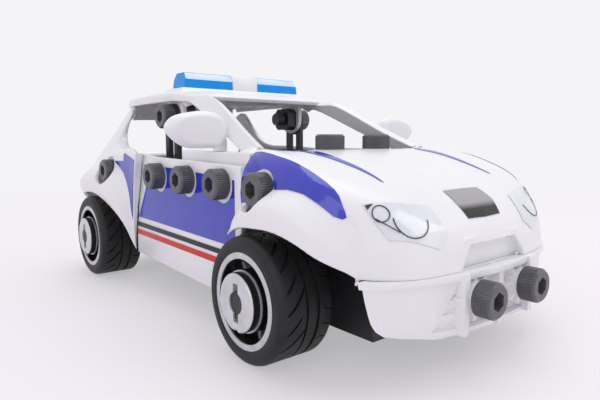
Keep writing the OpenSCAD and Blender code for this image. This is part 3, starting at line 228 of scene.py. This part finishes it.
tyre_r = axle_z
tyre_outer = 61.2
groove_depth = 0.75
slant_count, block_count = 10, 26
tyre_section = [(14.65, 4), (14.65, 1.4), (15.4, 1.35), (15.4, 0.3), (15.8, 0.05), (16.6, 0), (18, 0),
                (18.7, 0.2), (19.3, 0.55), (19.8, 1.05), (20.15, 1.65), (tyre_r, 2.4), (tyre_r, 9.2),
                (19.7, 9.3), (19.7, 9.9), (tyre_r, 10), (tyre_r, 13.2), (19.6, 13.3), (19.6, 14.4),
                (tyre_r, 14.5), (tyre_r, 18.8), (20.1, 19.4), (19.6, 19.8), (18.6, 20), (14.65, 20)]
bpy.ops.mesh.primitive_circle_add(vertices=len(tyre_section), radius=1)
tyre = bpy.context.object
for vertex, (radius, side) in zip(tyre.data.vertices, tyre_section):
    vertex.co = Vector((radius, side - tyre_outer, 0)) / 1000
open_whole()
bpy.ops.mesh.spin(steps=120, angle=2 * math.pi, center=(0, 0, 0), axis=(0, 1, 0))
bpy.ops.mesh.select_all(action="SELECT")
bpy.ops.mesh.remove_doubles(threshold=0.00001)
bpy.ops.mesh.normals_make_consistent(inside=False)
bpy.ops.object.mode_set(mode="OBJECT")
cut_away(tyre, tread_cut(start=2.3, end=9.5, width=0.9, rise=7.8, curl=0.5, count=slant_count))
short_grooves = tread_cut(start=2.8, end=7.6, width=0.8, rise=5.2, curl=0.4, count=slant_count)
short_grooves.data.transform(Matrix.Rotation(math.pi / slant_count, 4, "Y"))
cut_away(tyre, short_grooves)
cut_away(tyre, tread_cut(start=15.6, end=20.6, width=0.8, rise=-1.4, curl=0.2, count=block_count))
take_up(tyre)
bpy.ops.object.shade_smooth_by_angle(angle=math.radians(32))
rubber = moulded("tyre_rubber", (0.009, 0.0085, 0.0095), (0.015, 0.0145, 0.016),
                 mottle=130, grain=2600, rough=0.52, height=0.00005)
rubber.node_tree.nodes["Principled BSDF"].inputs["Specular IOR Level"].default_value = 0.35
tyre.data.materials.append(rubber)
for axle, axle_x in axles:
    body = f"{axle}_axle_set"
    for side, turn in (("right", 0), ("left", math.pi)):
        place = Matrix.Translation((axle_x / 1000, 0, axle_z / 1000)) @ Matrix.Rotation(turn, 4, "Z")
        fitted = own_copy(tyre, f"{axle}_tyre_{side}_treaded", place)
        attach(fitted, body)
        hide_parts(f"{axle}_tyre_{side}")
bpy.data.objects.remove(tyre)


# Body panels: nose, cabin frame, tail, doors, mirrors, bumper and the middle of the light bar, each one
# thin white moulding with a soft satin gloss. Their edges are rounded as the mould rounds them, and
# they are held by the bolts further down.
def merged_copy(node, name):
    """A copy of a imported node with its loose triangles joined."""
    piece = own_copy(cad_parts[node], name, Matrix.Identity(4))
    take_up(piece)
    open_whole()
    bpy.ops.mesh.remove_doubles(threshold=0.000001)
    bpy.ops.object.mode_set(mode="OBJECT")
    return piece


def softened(node, name, rounds, share):
    """A curved panel skinned afresh, so that every edge of the solid is rounded."""
    piece = merged_copy(node, name)
    skin = piece.modifiers.new("skin", "REMESH")
    skin.mode = "VOXEL"
    skin.voxel_size = 0.0003
    polish = piece.modifiers.new("polish", "SMOOTH")
    polish.factor = 0.5
    polish.iterations = rounds
    thinner = piece.modifiers.new("thinner", "DECIMATE")
    thinner.ratio = share
    settle(piece)
    bpy.ops.object.shade_smooth()
    return piece


def eased(node, name, width):
    """A flat-faced panel with its corners broken by a narrow bevel."""
    piece = merged_copy(node, name)
    open_whole()
    bpy.ops.mesh.dissolve_limited(angle_limit=math.radians(1))
    bpy.ops.object.mode_set(mode="OBJECT")
    corner = piece.modifiers.new("corner", "BEVEL")
    corner.width = width / 1000
    corner.segments = 2
    corner.limit_method = "ANGLE"
    corner.angle_limit = math.radians(40)
    settle(piece)
    bpy.ops.object.shade_smooth_by_angle(angle=math.radians(35))
    return piece


white_panel = moulded("white_panel", (0.83, 0.825, 0.86), (0.87, 0.866, 0.895),
                      mottle=45, grain=2800, rough=0.3, height=0.00001)
panels = {"front_body": softened("front_body", "nose_panel", rounds=8, share=0.26),
          "cabin_shell": softened("cabin_shell", "cabin_frame", rounds=6, share=0.3),
          "rear_body": softened("rear_body", "tail_panel", rounds=8, share=0.26),
          "mirror_right": softened("mirror_right", "mirror_panel_right", rounds=20, share=0.5),
          "mirror_left": softened("mirror_left", "mirror_panel_left", rounds=20, share=0.5),
          "front_bumper": eased("front_bumper", "bumper_lattice", width=0.25),
          "door_right": eased("door_right", "door_panel_right", width=0.25),
          "door_left": eased("door_left", "door_panel_left", width=0.25),
          "light_bar_cap": eased("light_bar_cap", "light_bar_bridge", width=0.4)}

# The new skin rounds the nose's lower rim away from the bumper, so the rim is drawn down again.
rim_front, rim_top, rim_pull = 0.087, 0.0345, 0.3
for vertex in panels["front_body"].data.vertices:
    if vertex.co.x > rim_front and vertex.co.z < rim_top:
        vertex.co.z -= rim_pull * (rim_top - vertex.co.z)
for node, panel in panels.items():
    panel.data.materials.clear()
    panel.data.materials.append(white_panel)
    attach(panel, "car")
    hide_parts(node)


# Light bar lenses: two blue covers on the roof, one each side of the white bridge.
# They are tinted plastic with crisp facets: an upright lower wall, and a slanted upper one coloured pale
# blue as a painted reflection of the light above.
def pick(piece, kind, wanted):
    """Goes into edit mode with only the wanted faces or vertices of a piece selected."""
    bpy.ops.object.mode_set(mode="EDIT")
    bpy.ops.mesh.select_mode(type=kind)
    bpy.ops.mesh.select_all(action="DESELECT")
    bpy.ops.object.mode_set(mode="OBJECT")
    parts = piece.data.polygons if kind == "FACE" else piece.data.vertices
    for part in parts:
        part.select = wanted(part)
    bpy.ops.object.mode_set(mode="EDIT")


def faces_up(face):
    """Whether a face lies level and looks up."""
    return face.normal.z > 0.9


def lens(name, low, high, outer):
    """One faceted cover between two corners, its outer end leaning in."""
    size = high - low
    wall, slope, lean = 0.004, 0.0022, 0.0011
    bpy.ops.mesh.primitive_cube_add(size=1, location=(0, 0, 0))
    cover = bpy.context.object
    cover.name = name
    for vertex in cover.data.vertices:
        vertex.co = Vector((vertex.co.x * size.x, vertex.co.y * size.y, (vertex.co.z + 0.5) * wall))
    pick(cover, "FACE", faces_up)
    bpy.ops.mesh.extrude_region_move(TRANSFORM_OT_translate={"value": (0, 0, size.z - wall)})
    bpy.ops.transform.resize(value=(1 - 2 * slope / size.x, 1, 1), center_override=(0, 0, size.z))
    bpy.ops.object.mode_set(mode="OBJECT")
    for vertex in cover.data.vertices:
        if vertex.co.y * outer > 0:
            vertex.co.y -= outer * lean * vertex.co.z / size.z
    rounding = cover.modifiers.new("rounding", "BEVEL")
    rounding.width = 0.0003
    rounding.segments = 2
    settle(cover)
    cover.data.transform(Matrix.Translation(((low.x + high.x) / 2, (low.y + high.y) / 2, low.z)))
    bpy.ops.object.shade_smooth_by_angle(angle=math.radians(20))
    return cover


tinted_blue = moulded("tinted_blue", (0.001, 0.31, 0.88), (0.002, 0.35, 0.94),
                      mottle=80, grain=900, rough=0.08, height=0.00001)
tint = tinted_blue.node_tree.nodes["Principled BSDF"]
tint.inputs["Transmission Weight"].default_value = 0.12
tint.inputs["Specular IOR Level"].default_value = 0.2
painted_reflection_tint = moulded("painted_reflection_tint", (0.6, 0.77, 0.95), (0.66, 0.82, 0.98),
                    mottle=80, grain=900, rough=0.08, height=0.00001)
for side, outer in (("right", -1), ("left", 1)):
    low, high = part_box(f"light_bar_lens_{side}")
    cover = lens(f"light_lens_{side}", Vector(low), Vector(high), outer)
    cover.data.materials.append(tinted_blue)
    cover.data.materials.append(painted_reflection_tint)
    # Painted reflection: the slanted upper faces get the pale tint.
    for face in cover.data.polygons:
        slanted = abs(face.normal.x) > 0.7 and face.normal.z > 0.4
        face.material_index = int(slanted)
    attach(cover, "car")
    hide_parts(f"light_bar_lens_{side}")


# Stickers: thin printed foils pressed on to the panels, with a hard gloss. The sides carry a blue field
# over a black and a red stripe, and the nose a blue crescent and edge lines.
def foil(name, outline, facing, under, cell):
    """A foil cut to an outline in millimetres, gridded and pressed on to the panel under it."""
    lift, thickness, start_gap, miss_margin = 0.00012, 0.00012, 0.02, 0.001
    turn = Vector(facing).to_track_quat("Z", "Y").to_matrix()
    flat = [turn.inverted() @ (Vector(point) / 1000) for point in outline]
    area = sum(a.x * b.y - b.x * a.y for a, b in zip(flat, flat[1:] + flat[:1]))
    if area < 0:
        flat.reverse()
    height = max(point.z for point in flat) + start_gap
    bpy.ops.mesh.primitive_circle_add(vertices=len(flat), radius=0.01, fill_type="NGON")
    sheet = bpy.context.object
    sheet.name = name
    for vertex, point in zip(sheet.data.vertices, flat):
        vertex.co = (point.x, point.y, height)
    open_whole()
    bpy.ops.mesh.quads_convert_to_tris(ngon_method="BEAUTY")
    for axis in (0, 1):
        normal = (1 - axis, axis, 0)
        low, high = min(point[axis] for point in flat), max(point[axis] for point in flat)
        for step in range(1, int((high - low) * 1000 / cell) + 1):
            bpy.ops.mesh.select_all(action="SELECT")
            across = low + step * cell / 1000
            bpy.ops.mesh.bisect(plane_co=(normal[0] * across, normal[1] * across, 0), plane_no=normal)
    bpy.ops.mesh.select_all(action="SELECT")
    bpy.ops.mesh.remove_doubles(threshold=0.00001)
    bpy.ops.object.mode_set(mode="OBJECT")
    sheet.matrix_world = turn.to_4x4()
    press = sheet.modifiers.new("press", "SHRINKWRAP")
    press.wrap_method = "PROJECT"
    press.use_project_z = True
    press.use_positive_direction = False
    press.use_negative_direction = True
    press.target = under
    press.offset = lift
    settle(sheet)
    pick(sheet, "VERT", lambda vertex: vertex.co.z > height - miss_margin)
    bpy.ops.mesh.delete(type="VERT")
    bpy.ops.object.mode_set(mode="OBJECT")
    body = sheet.modifiers.new("body", "SOLIDIFY")
    body.thickness = thickness
    body.offset = 1
    settle(sheet)
    bpy.ops.object.shade_smooth_by_angle(angle=math.radians(30))
    bpy.ops.object.transform_apply(location=False, rotation=True, scale=False)
    return sheet


def opposite(piece, name):
    """The same piece mirrored to the left side of the car."""
    twin = own_copy(piece, name, Matrix.Scale(-1, 4, (0, 1, 0)))
    take_up(twin)
    open_whole()
    bpy.ops.mesh.flip_normals()
    bpy.ops.object.mode_set(mode="OBJECT")
    return twin


def stick(piece, material):
    """Prints a foil, and puts it on the car."""
    piece.data.materials.append(material)
    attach(piece, "car")


def stick_pair(piece, stem, material):
    """Prints a foil of the right side and its mirror image on the left, and puts both on the car."""
    other = opposite(piece, f"{stem}_left")
    stick(piece, material)
    stick(other, material)


def print_ink(name, deep, pale, shine):
    """Printed foil: an even ink with the slight cloud of a press, under a gloss of this level."""
    ink = moulded(name, deep, pale, mottle=120, grain=1400, rough=0.1, height=0.000004)
    ink.node_tree.nodes["Principled BSDF"].inputs["Specular IOR Level"].default_value = shine
    return ink


blue_ink = print_ink("blue_ink", (0.022, 0.03, 0.45), (0.03, 0.038, 0.51), shine=0.7)
black_ink = print_ink("black_ink", (0.006, 0.006, 0.008), (0.011, 0.011, 0.013), shine=0.25)
red_ink = print_ink("red_ink", (0.58, 0.018, 0.012), (0.66, 0.026, 0.018), shine=0.25)

bolt_z, fender_bolt_x, rail_xs = 54.6, 56.5, (-19.7, 5.7, 31.1)
ring_r, hole_r, hole_z = 7.1, 6.8, 54.5
half_turn = [math.radians(angle) for angle in range(0, 181, 12)]
ring = [(fender_bolt_x + ring_r * math.cos(a), -52, bolt_z + ring_r * math.sin(a)) for a in half_turn]
crescent = [(43.5, -46.3, 66.2), (48.2, -46.2, 66.1), (54, -46.9, 65.6), (59.7, -47.5, 64.8),
            (65, -47.6, 63.9), (69.7, -47.6, 62.7), (74, -47.6, 61.3), (77.8, -47.6, 59.8),
            (81.6, -47.6, 58.1), (84.9, -47.5, 56.3), (86.8, -47.7, 54.8), (88.1, -47.9, 53),
            (89.3, -47.8, 51), (89.9, -47.7, 49.1), (89.1, -48.4, 48.5), (87.1, -49.9, 49.2),
            (83.1, -51.5, 52.1), (77.5, -52.5, 54.7), (70.7, -53, 55.6), (64.3, -53.3, 55.1),
            *ring[1:], (49.4, -51.7, 50), (43.5, -51.6, 49)]
edge_line = [(44.6, -43.6, 66.9), (48.2, -37, 66.4), (52.2, -32.6, 66), (59.1, -32.4, 65.2),
             (64.3, -31.6, 64.3), (71.1, -30.8, 62.6), (76.4, -30, 61.1), (82, -29.6, 59.2),
             (85.4, -29.6, 57.9), (86.6, -29.2, 57.4), (82, -28.6, 59.2), (75.1, -28.2, 61.5),
             (67.3, -28.3, 63.6), (61.2, -27.9, 64.9), (55.7, -27.4, 65.8), (51, -29.6, 66.2),
             (47.6, -35, 66.5), (45.4, -39.4, 66.9)]
quarter_field = [(-45.8, -53.4, 33), (-43.9, -54, 38.6), (-42.4, -54, 43), (-40, -54.8, 50),
                 (-38, -55, 55.8), (-37, -55.3, 58.7), (-36.3, -55.4, 60.8), (-52.2, -53.6, 63.7),
                 (-51.7, -54.3, 59.9), (-64.4, -53.9, 59.5), (-57.5, -54.2, 57.2),
                 (-51.5, -54.5, 54.3), (-48.9, -54.5, 51), (-46.8, -54.5, 47.2), (-46, -54.3, 43.4),
                 (-46, -54, 38)]
door_field = [(-35.1, -52, 58.8), (-14, -52, 58.5), (15, -52, 57.6), (39, -52, 56.3), (39, -52, 35.4),
              (37.3, -52, 33.1), (-43.3, -52, 34.4), (-34.4, -52, 48.1)]
black_stripe = [(-44.2, -52, 32), (36.2, -52, 30.8), (35.4, -52, 28.9), (-44.8, -52, 29.9)]
red_stripe = [(-45, -52, 28.5), (34.8, -52, 27.4), (34.2, -52, 25.1), (-45.3, -52, 26.2)]
curved_cell, flat_cell = 1.2, 40
for name, outline, facing, panel, ink, cell in (
        ("nose_crescent", crescent, (0.05, -0.8, 0.6), "front_body", blue_ink, curved_cell),
        ("hood_line", edge_line, (0.2, 0, 1), "front_body", blue_ink, curved_cell),
        ("quarter_field", quarter_field, (0, -1, 0.1), "rear_body", blue_ink, curved_cell),
        ("door_field", door_field, (0, -1, 0), "door_right", blue_ink, flat_cell),
        ("black_stripe", black_stripe, (0, -1, 0), "door_right", black_ink, flat_cell),
        ("red_stripe", red_stripe, (0, -1, 0), "door_right", red_ink, flat_cell)):
    sheet = foil(f"{name}_right", outline, facing, panels[panel], cell)
    if name == "door_field":
        for x in rail_xs:
            bpy.ops.mesh.primitive_cylinder_add(vertices=64, radius=hole_r / 1000, depth=0.01,
                                                location=(x / 1000, -0.0512, hole_z / 1000),
                                                rotation=(math.pi / 2, 0, 0))
            cut_away(sheet, bpy.context.object)
    stick_pair(sheet, name, ink)


# Lamps, tail lamps and nose plate: foils too. The lamps are a pale silver print with thin dark lines, the
# tail lamps a plain red one, and the plate is a dark mirror print, paler along its top.
lamp_silver = print_ink("lamp_silver", (0.7, 0.72, 0.78), (0.84, 0.85, 0.9), shine=0.7)
line_ink = print_ink("line_ink", (0.03, 0.03, 0.035), (0.05, 0.05, 0.055), shine=0.4)
lamp_facing = (0.78, -0.25, 0.56)
lamp = [(91.5, -43.7, 52.6), (94, -34, 52), (97.5, -22.2, 51), (101, -21.4, 47), (103.9, -21, 43.2),
        (104.7, -26, 39.7), (101, -34, 41.6), (98.9, -40.7, 43.2), (95, -42.6, 48)]


def lamp_ring(centre, radius, start, end):
    """A thin printed arc, seen square to the lamp."""
    line_width, steps = 0.3, 40
    turn = Vector(lamp_facing).to_track_quat("Z", "Y").to_matrix()
    angles = [math.radians(start + (end - start) * step / steps) for step in range(steps + 1)]
    outer, inner = [[Vector(centre) + turn @ Vector((reach * math.cos(a), reach * math.sin(a), 0))
                     for a in angles] for reach in (radius + line_width / 2, radius - line_width / 2)]
    return outer + inner[::-1]


lamp_foil = foil("lamp_right", lamp, lamp_facing, panels["front_body"], curved_cell)
stick_pair(lamp_foil, "lamp", lamp_silver)
lamp_corner = [(92.1, -43.3, 52.2), (93, -41, 52.6), (93, -43.2, 51.1)]
lamp_stroke = [(95, -42.1, 48.85), (96.35, -40.9, 47.8), (99.9, -37.3, 45.15), (99.85, -37.5, 45),
               (96.3, -41.1, 47.65), (94.95, -42.25, 48.7)]
line_cell = 1
for name, outline in (("lamp_ring", lamp_ring((95.4, -40.3, 50.1), radius=2.5, start=0, end=358)),
                      ("lamp_arc", lamp_ring((98.9, -32.2, 47.9), radius=5.7, start=175, end=358)),
                      ("lamp_corner", lamp_corner),
                      ("lamp_stroke", lamp_stroke)):
    stick_pair(foil(f"{name}_right", outline, lamp_facing, lamp_foil, line_cell), name, line_ink)

tail_red = print_ink("tail_red", (0.5, 0.012, 0.012), (0.62, 0.02, 0.018), shine=0.6)
tail_facing = (-0.8, -0.5, 0.33)
tail_lamp = [(-112.3, -44, 50), (-111.3, -47, 50), (-109.5, -50, 50), (-107.8, -52, 50.6),
             (-105, -51.2, 54.3), (-103.2, -49.6, 58), (-106.2, -47, 59.5), (-109.2, -44.6, 59.2),
             (-111.3, -44, 54)]
tail_foil = foil("tail_lamp_right", tail_lamp, tail_facing, panels["rear_body"], curved_cell)
stick_pair(tail_foil, "tail_lamp", tail_red)

plate_ink = print_ink("plate_ink", (0.014, 0.011, 0.011), (0.38, 0.37, 0.38), shine=0.3)
plate_tree = plate_ink.node_tree
height_of = plate_tree.nodes.new("ShaderNodeSeparateXYZ")
climb = plate_tree.nodes.new("ShaderNodeMapRange")
climb.inputs["From Min"].default_value = 0.0478
climb.inputs["From Max"].default_value = 0.0518
plate_tree.links.new(plate_tree.nodes["Texture Coordinate"].outputs["Object"], height_of.inputs["Vector"])
plate_tree.links.new(height_of.outputs["Z"], climb.inputs["Value"])
plate_tree.links.new(climb.outputs["Result"], plate_tree.nodes["Color Ramp"].inputs["Fac"])
plate_facing = (0.64, 0, 0.77)
plate = [(93.3, -9.3, 54.2), (93.2, 0, 54.4), (93.3, 9.3, 54.2), (98, 11, 50.4), (102.4, 8.8, 46.5),
         (102.7, 0, 46.3), (102.4, -8.8, 46.5), (98, -9.2, 50.4)]
stick(foil("nose_plate", plate, plate_facing, panels["front_body"], curved_cell), plate_ink)


# Bolts: fat socket-head bolts with a knurled side, a chamfered face and a hexagon socket.
# They are moulded in dark grey plastic, and each goes through its panel and strip into a square nut.
head_r, head_h, shank_r, shank_len = 5.5, 5.6, 3.1, 14.3
knurl_h, land_h, chamfer_h = 4.9, 0.1, 0.6
land_r, face_r, valley_share = 5.28, 4.8, 0.955
socket_af, socket_depth, ridges = 5, 3.6, 44
thread_steps, root_share = 28, 0.9
bpy.ops.mesh.primitive_cylinder_add(vertices=2 * ridges, radius=head_r / 1000, depth=knurl_h / 1000,
                                    location=(0, 0, knurl_h / 2000), end_fill_type="NGON")
head = bpy.context.object
bpy.ops.object.transform_apply(location=True, rotation=False, scale=False)


def in_valley(vertex):
    """Whether a vertex of the head lies on every second line of its knurled side."""
    column = round(math.atan2(vertex.co.y, vertex.co.x) / (math.pi / ridges))
    return column % 2 == 1


pick(head, "VERT", in_valley)
bpy.ops.transform.resize(value=(valley_share, valley_share, 1), center_override=(0, 0, 0))
pick(head, "FACE", faces_up)
for rise in (land_h, chamfer_h):
    bpy.ops.mesh.extrude_region_move(TRANSFORM_OT_translate={"value": (0, 0, rise / 1000)})
bpy.ops.object.mode_set(mode="OBJECT")
for vertex in head.data.vertices:
    if vertex.co.z > (knurl_h + land_h / 2) / 1000:
        on_land = vertex.co.z < (knurl_h + land_h + chamfer_h / 2) / 1000
        radius = land_r if on_land else face_r
        vertex.co.xy = vertex.co.xy.normalized() * (radius / 1000)
bpy.ops.mesh.primitive_cylinder_add(vertices=6, radius=socket_af / math.sqrt(3) / 1000,
                                    depth=socket_depth / 1000,
                                    location=(0, 0, (head_h - socket_depth / 2) / 1000 + 0.00001))
cut_away(head, bpy.context.object)

bpy.ops.mesh.primitive_circle_add(vertices=32, radius=shank_r / 1000, fill_type="NGON")
bolt = bpy.context.object
bpy.ops.object.mode_set(mode="EDIT")
for step in range(thread_steps):
    drop = (0, 0, -shank_len / thread_steps / 1000)
    bpy.ops.mesh.extrude_region_move(TRANSFORM_OT_translate={"value": drop})
    share = root_share if step % 2 == 0 else 1 / root_share
    bpy.ops.transform.resize(value=(share, share, 1), center_override=(0, 0, 0))
bpy.ops.mesh.select_all(action="SELECT")
bpy.ops.mesh.normals_make_consistent(inside=False)
bpy.ops.object.mode_set(mode="OBJECT")
take_up(bolt)
head.select_set(True)
bpy.ops.object.join()


def both_sides(x, y, z):
    """The seats of a bolt on the right and its twin on the left, each with the way it faces."""
    return [((x, -y, z), (0, -1, 0)), ((x, y, z), (0, 1, 0))]


bolt_grey = moulded("bolt_grey", (0.08, 0.08, 0.09), (0.105, 0.105, 0.118),
                    mottle=260, grain=2100, rough=0.3, height=0.00003)
side_y = 51.2
right_rail, left_rail = zip(*(both_sides(x, side_y, bolt_z) for x in rail_xs))
bolt_sets = (("door_bolts_right", right_rail),
             ("door_bolts_left", left_rail),
             ("fender_bolts", both_sides(fender_bolt_x, side_y, bolt_z)),
             ("rear_fender_bolts", both_sides(-70.5, 52.4, bolt_z)),
             ("hood_bolts", [((45.1, -12.7, 66.4), (0, 0, 1)), ((45.1, 12.7, 66.4), (0, 0, 1))]),
             ("bumper_bolts", [((110.1, -12.7, 24.6), (1, 0, 0)), ((110.1, 12.7, 24.6), (1, 0, 0))]),
             ("upright_bolts", both_sides(-36.5, 37.3, 80.4)))
for node, seats in bolt_sets:
    copies = []
    for number, (seat, axis) in enumerate(seats):
        turn = Vector(axis).to_track_quat("Z", "Y").to_matrix().to_4x4()
        copies.append(own_copy(bolt, f"{node}_{number}", Matrix.Translation(Vector(seat) / 1000) @ turn))
    take_up(copies[0])
    for copy in copies:
        copy.select_set(True)
    bpy.ops.object.join()
    row = bpy.context.object
    row.name = f"{node}_knurled"
    bpy.ops.object.shade_smooth_by_angle(angle=math.radians(25))
    row.data.materials.append(bolt_grey)
    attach(row, "car")
    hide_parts(node)
bpy.data.objects.remove(bolt)


# Nuts: square black nuts with a raised collar, one turned up by hand on each bolt inside the body.
# They are moulded in the frame's black plastic, with a slightly finer grain.
nut_black = moulded("nut_black", (0.014, 0.014, 0.016), (0.024, 0.024, 0.027),
                    mottle=160, grain=2200, rough=0.38, height=0.00003)
dress(nut_black, "door_nuts_right", "door_nuts_left", "fender_nuts", "rear_fender_nuts", "hood_nuts",
      "bumper_nuts", "upright_nuts")


# Studio: a seamless white floor that runs out into a white surround, and large soft lamps.
# The camera stands low at the right front corner, as in the photograph.
backdrop, backdrop_level, fill_level = (0.955, 0.95, 0.97, 1), 0.95, 0.72
world = bpy.data.worlds.new("studio")
bpy.context.scene.world = world
world.use_nodes = True
sky_tree = world.node_tree
sky = sky_tree.nodes["Background"]
sky.inputs["Color"].default_value = backdrop
path = sky_tree.nodes.new("ShaderNodeLightPath").outputs
seen = wired(sky_tree, "ShaderNodeMath", "MAXIMUM", path["Is Camera Ray"], path["Is Glossy Ray"])
clear = wired(sky_tree, "ShaderNodeMath", "MAXIMUM", seen.outputs["Value"], path["Is Transmission Ray"])
level = sky_tree.nodes.new("ShaderNodeMapRange")
level.inputs["To Min"].default_value = fill_level
level.inputs["To Max"].default_value = backdrop_level
sky_tree.links.new(clear.outputs["Value"], level.inputs["Value"])
sky_tree.links.new(level.outputs["Result"], sky.inputs["Strength"])

bpy.ops.mesh.primitive_circle_add(vertices=96, radius=4, fill_type="NGON", location=(0, 0, -0.0002))
floor = bpy.context.object
floor.name = "floor"
bpy.ops.object.transform_apply(location=True, rotation=False, scale=False)
paper = bpy.data.materials.new("paper")
paper.use_nodes = True
tree = paper.node_tree
matt = tree.nodes["Principled BSDF"]
matt.inputs["Base Color"].default_value = (0.91, 0.84, 0.91, 1)
matt.inputs["Roughness"].default_value = 0.7
glow = tree.nodes.new("ShaderNodeEmission")
glow.inputs["Color"].default_value = backdrop
glow.inputs["Strength"].default_value = backdrop_level
spot = tree.nodes.new("ShaderNodeTexCoord")
reach = wired(tree, "ShaderNodeVectorMath", "LENGTH", spot.outputs["Object"])
spread = tree.nodes.new("ShaderNodeMapRange")
spread.interpolation_type = "SMOOTHSTEP"
spread.inputs["From Min"].default_value = 0.1
spread.inputs["From Max"].default_value = 0.8
spread.inputs["To Min"].default_value = 0.46
tree.links.new(reach.outputs["Value"], spread.inputs["Value"])
rays = tree.nodes.new("ShaderNodeLightPath").outputs
either = wired(tree, "ShaderNodeMath", "MAXIMUM", rays["Is Camera Ray"], rays["Is Glossy Ray"])
faded = wired(tree, "ShaderNodeMath", "MULTIPLY", spread.outputs["Result"], either.outputs["Value"])
blend = tree.nodes.new("ShaderNodeMixShader")
tree.links.new(faded.outputs["Value"], blend.inputs["Fac"])
tree.links.new(matt.outputs["BSDF"], blend.inputs[1])
tree.links.new(glow.outputs["Emission"], blend.inputs[2])
tree.links.new(blend.outputs["Shader"], tree.nodes["Material Output"].inputs["Surface"])
floor.data.materials.append(paper)

for name, place, aim, size, watts in (("overhead", (-0.1, 0.25, 1.1), (0, 0, 0.05), 0.9, 4),
                                      ("side", (0.5, -1.0, 0.6), (0, 0, 0.05), 0.7, 1.6),
                                      ("front", (0.75, 0.65, 0.85), (0, 0, 0.06), 0.5, 1.6)):
    data = bpy.data.lights.new(name, "AREA")
    data.shape = "SQUARE"
    data.size = size
    data.energy = watts
    lamp_object = bpy.data.objects.new(name, data)
    bpy.context.collection.objects.link(lamp_object)
    lamp_object.location = place
    lamp_object.rotation_euler = (Vector(aim) - Vector(place)).to_track_quat("-Z", "Y").to_euler()

lens_data = bpy.data.cameras.new("camera")
lens_data.sensor_width = 36
lens_data.lens = 31.53
lens_data.clip_start = 0.01
camera = bpy.data.objects.new("camera", lens_data)
bpy.context.collection.objects.link(camera)
camera.location = (0.19088, -0.14766, 0.07088)
camera.rotation_euler = (math.radians(83.2), 0, math.radians(50.45))
bpy.context.scene.camera = camera
bpy.context.scene.view_settings.view_transform = "Standard"
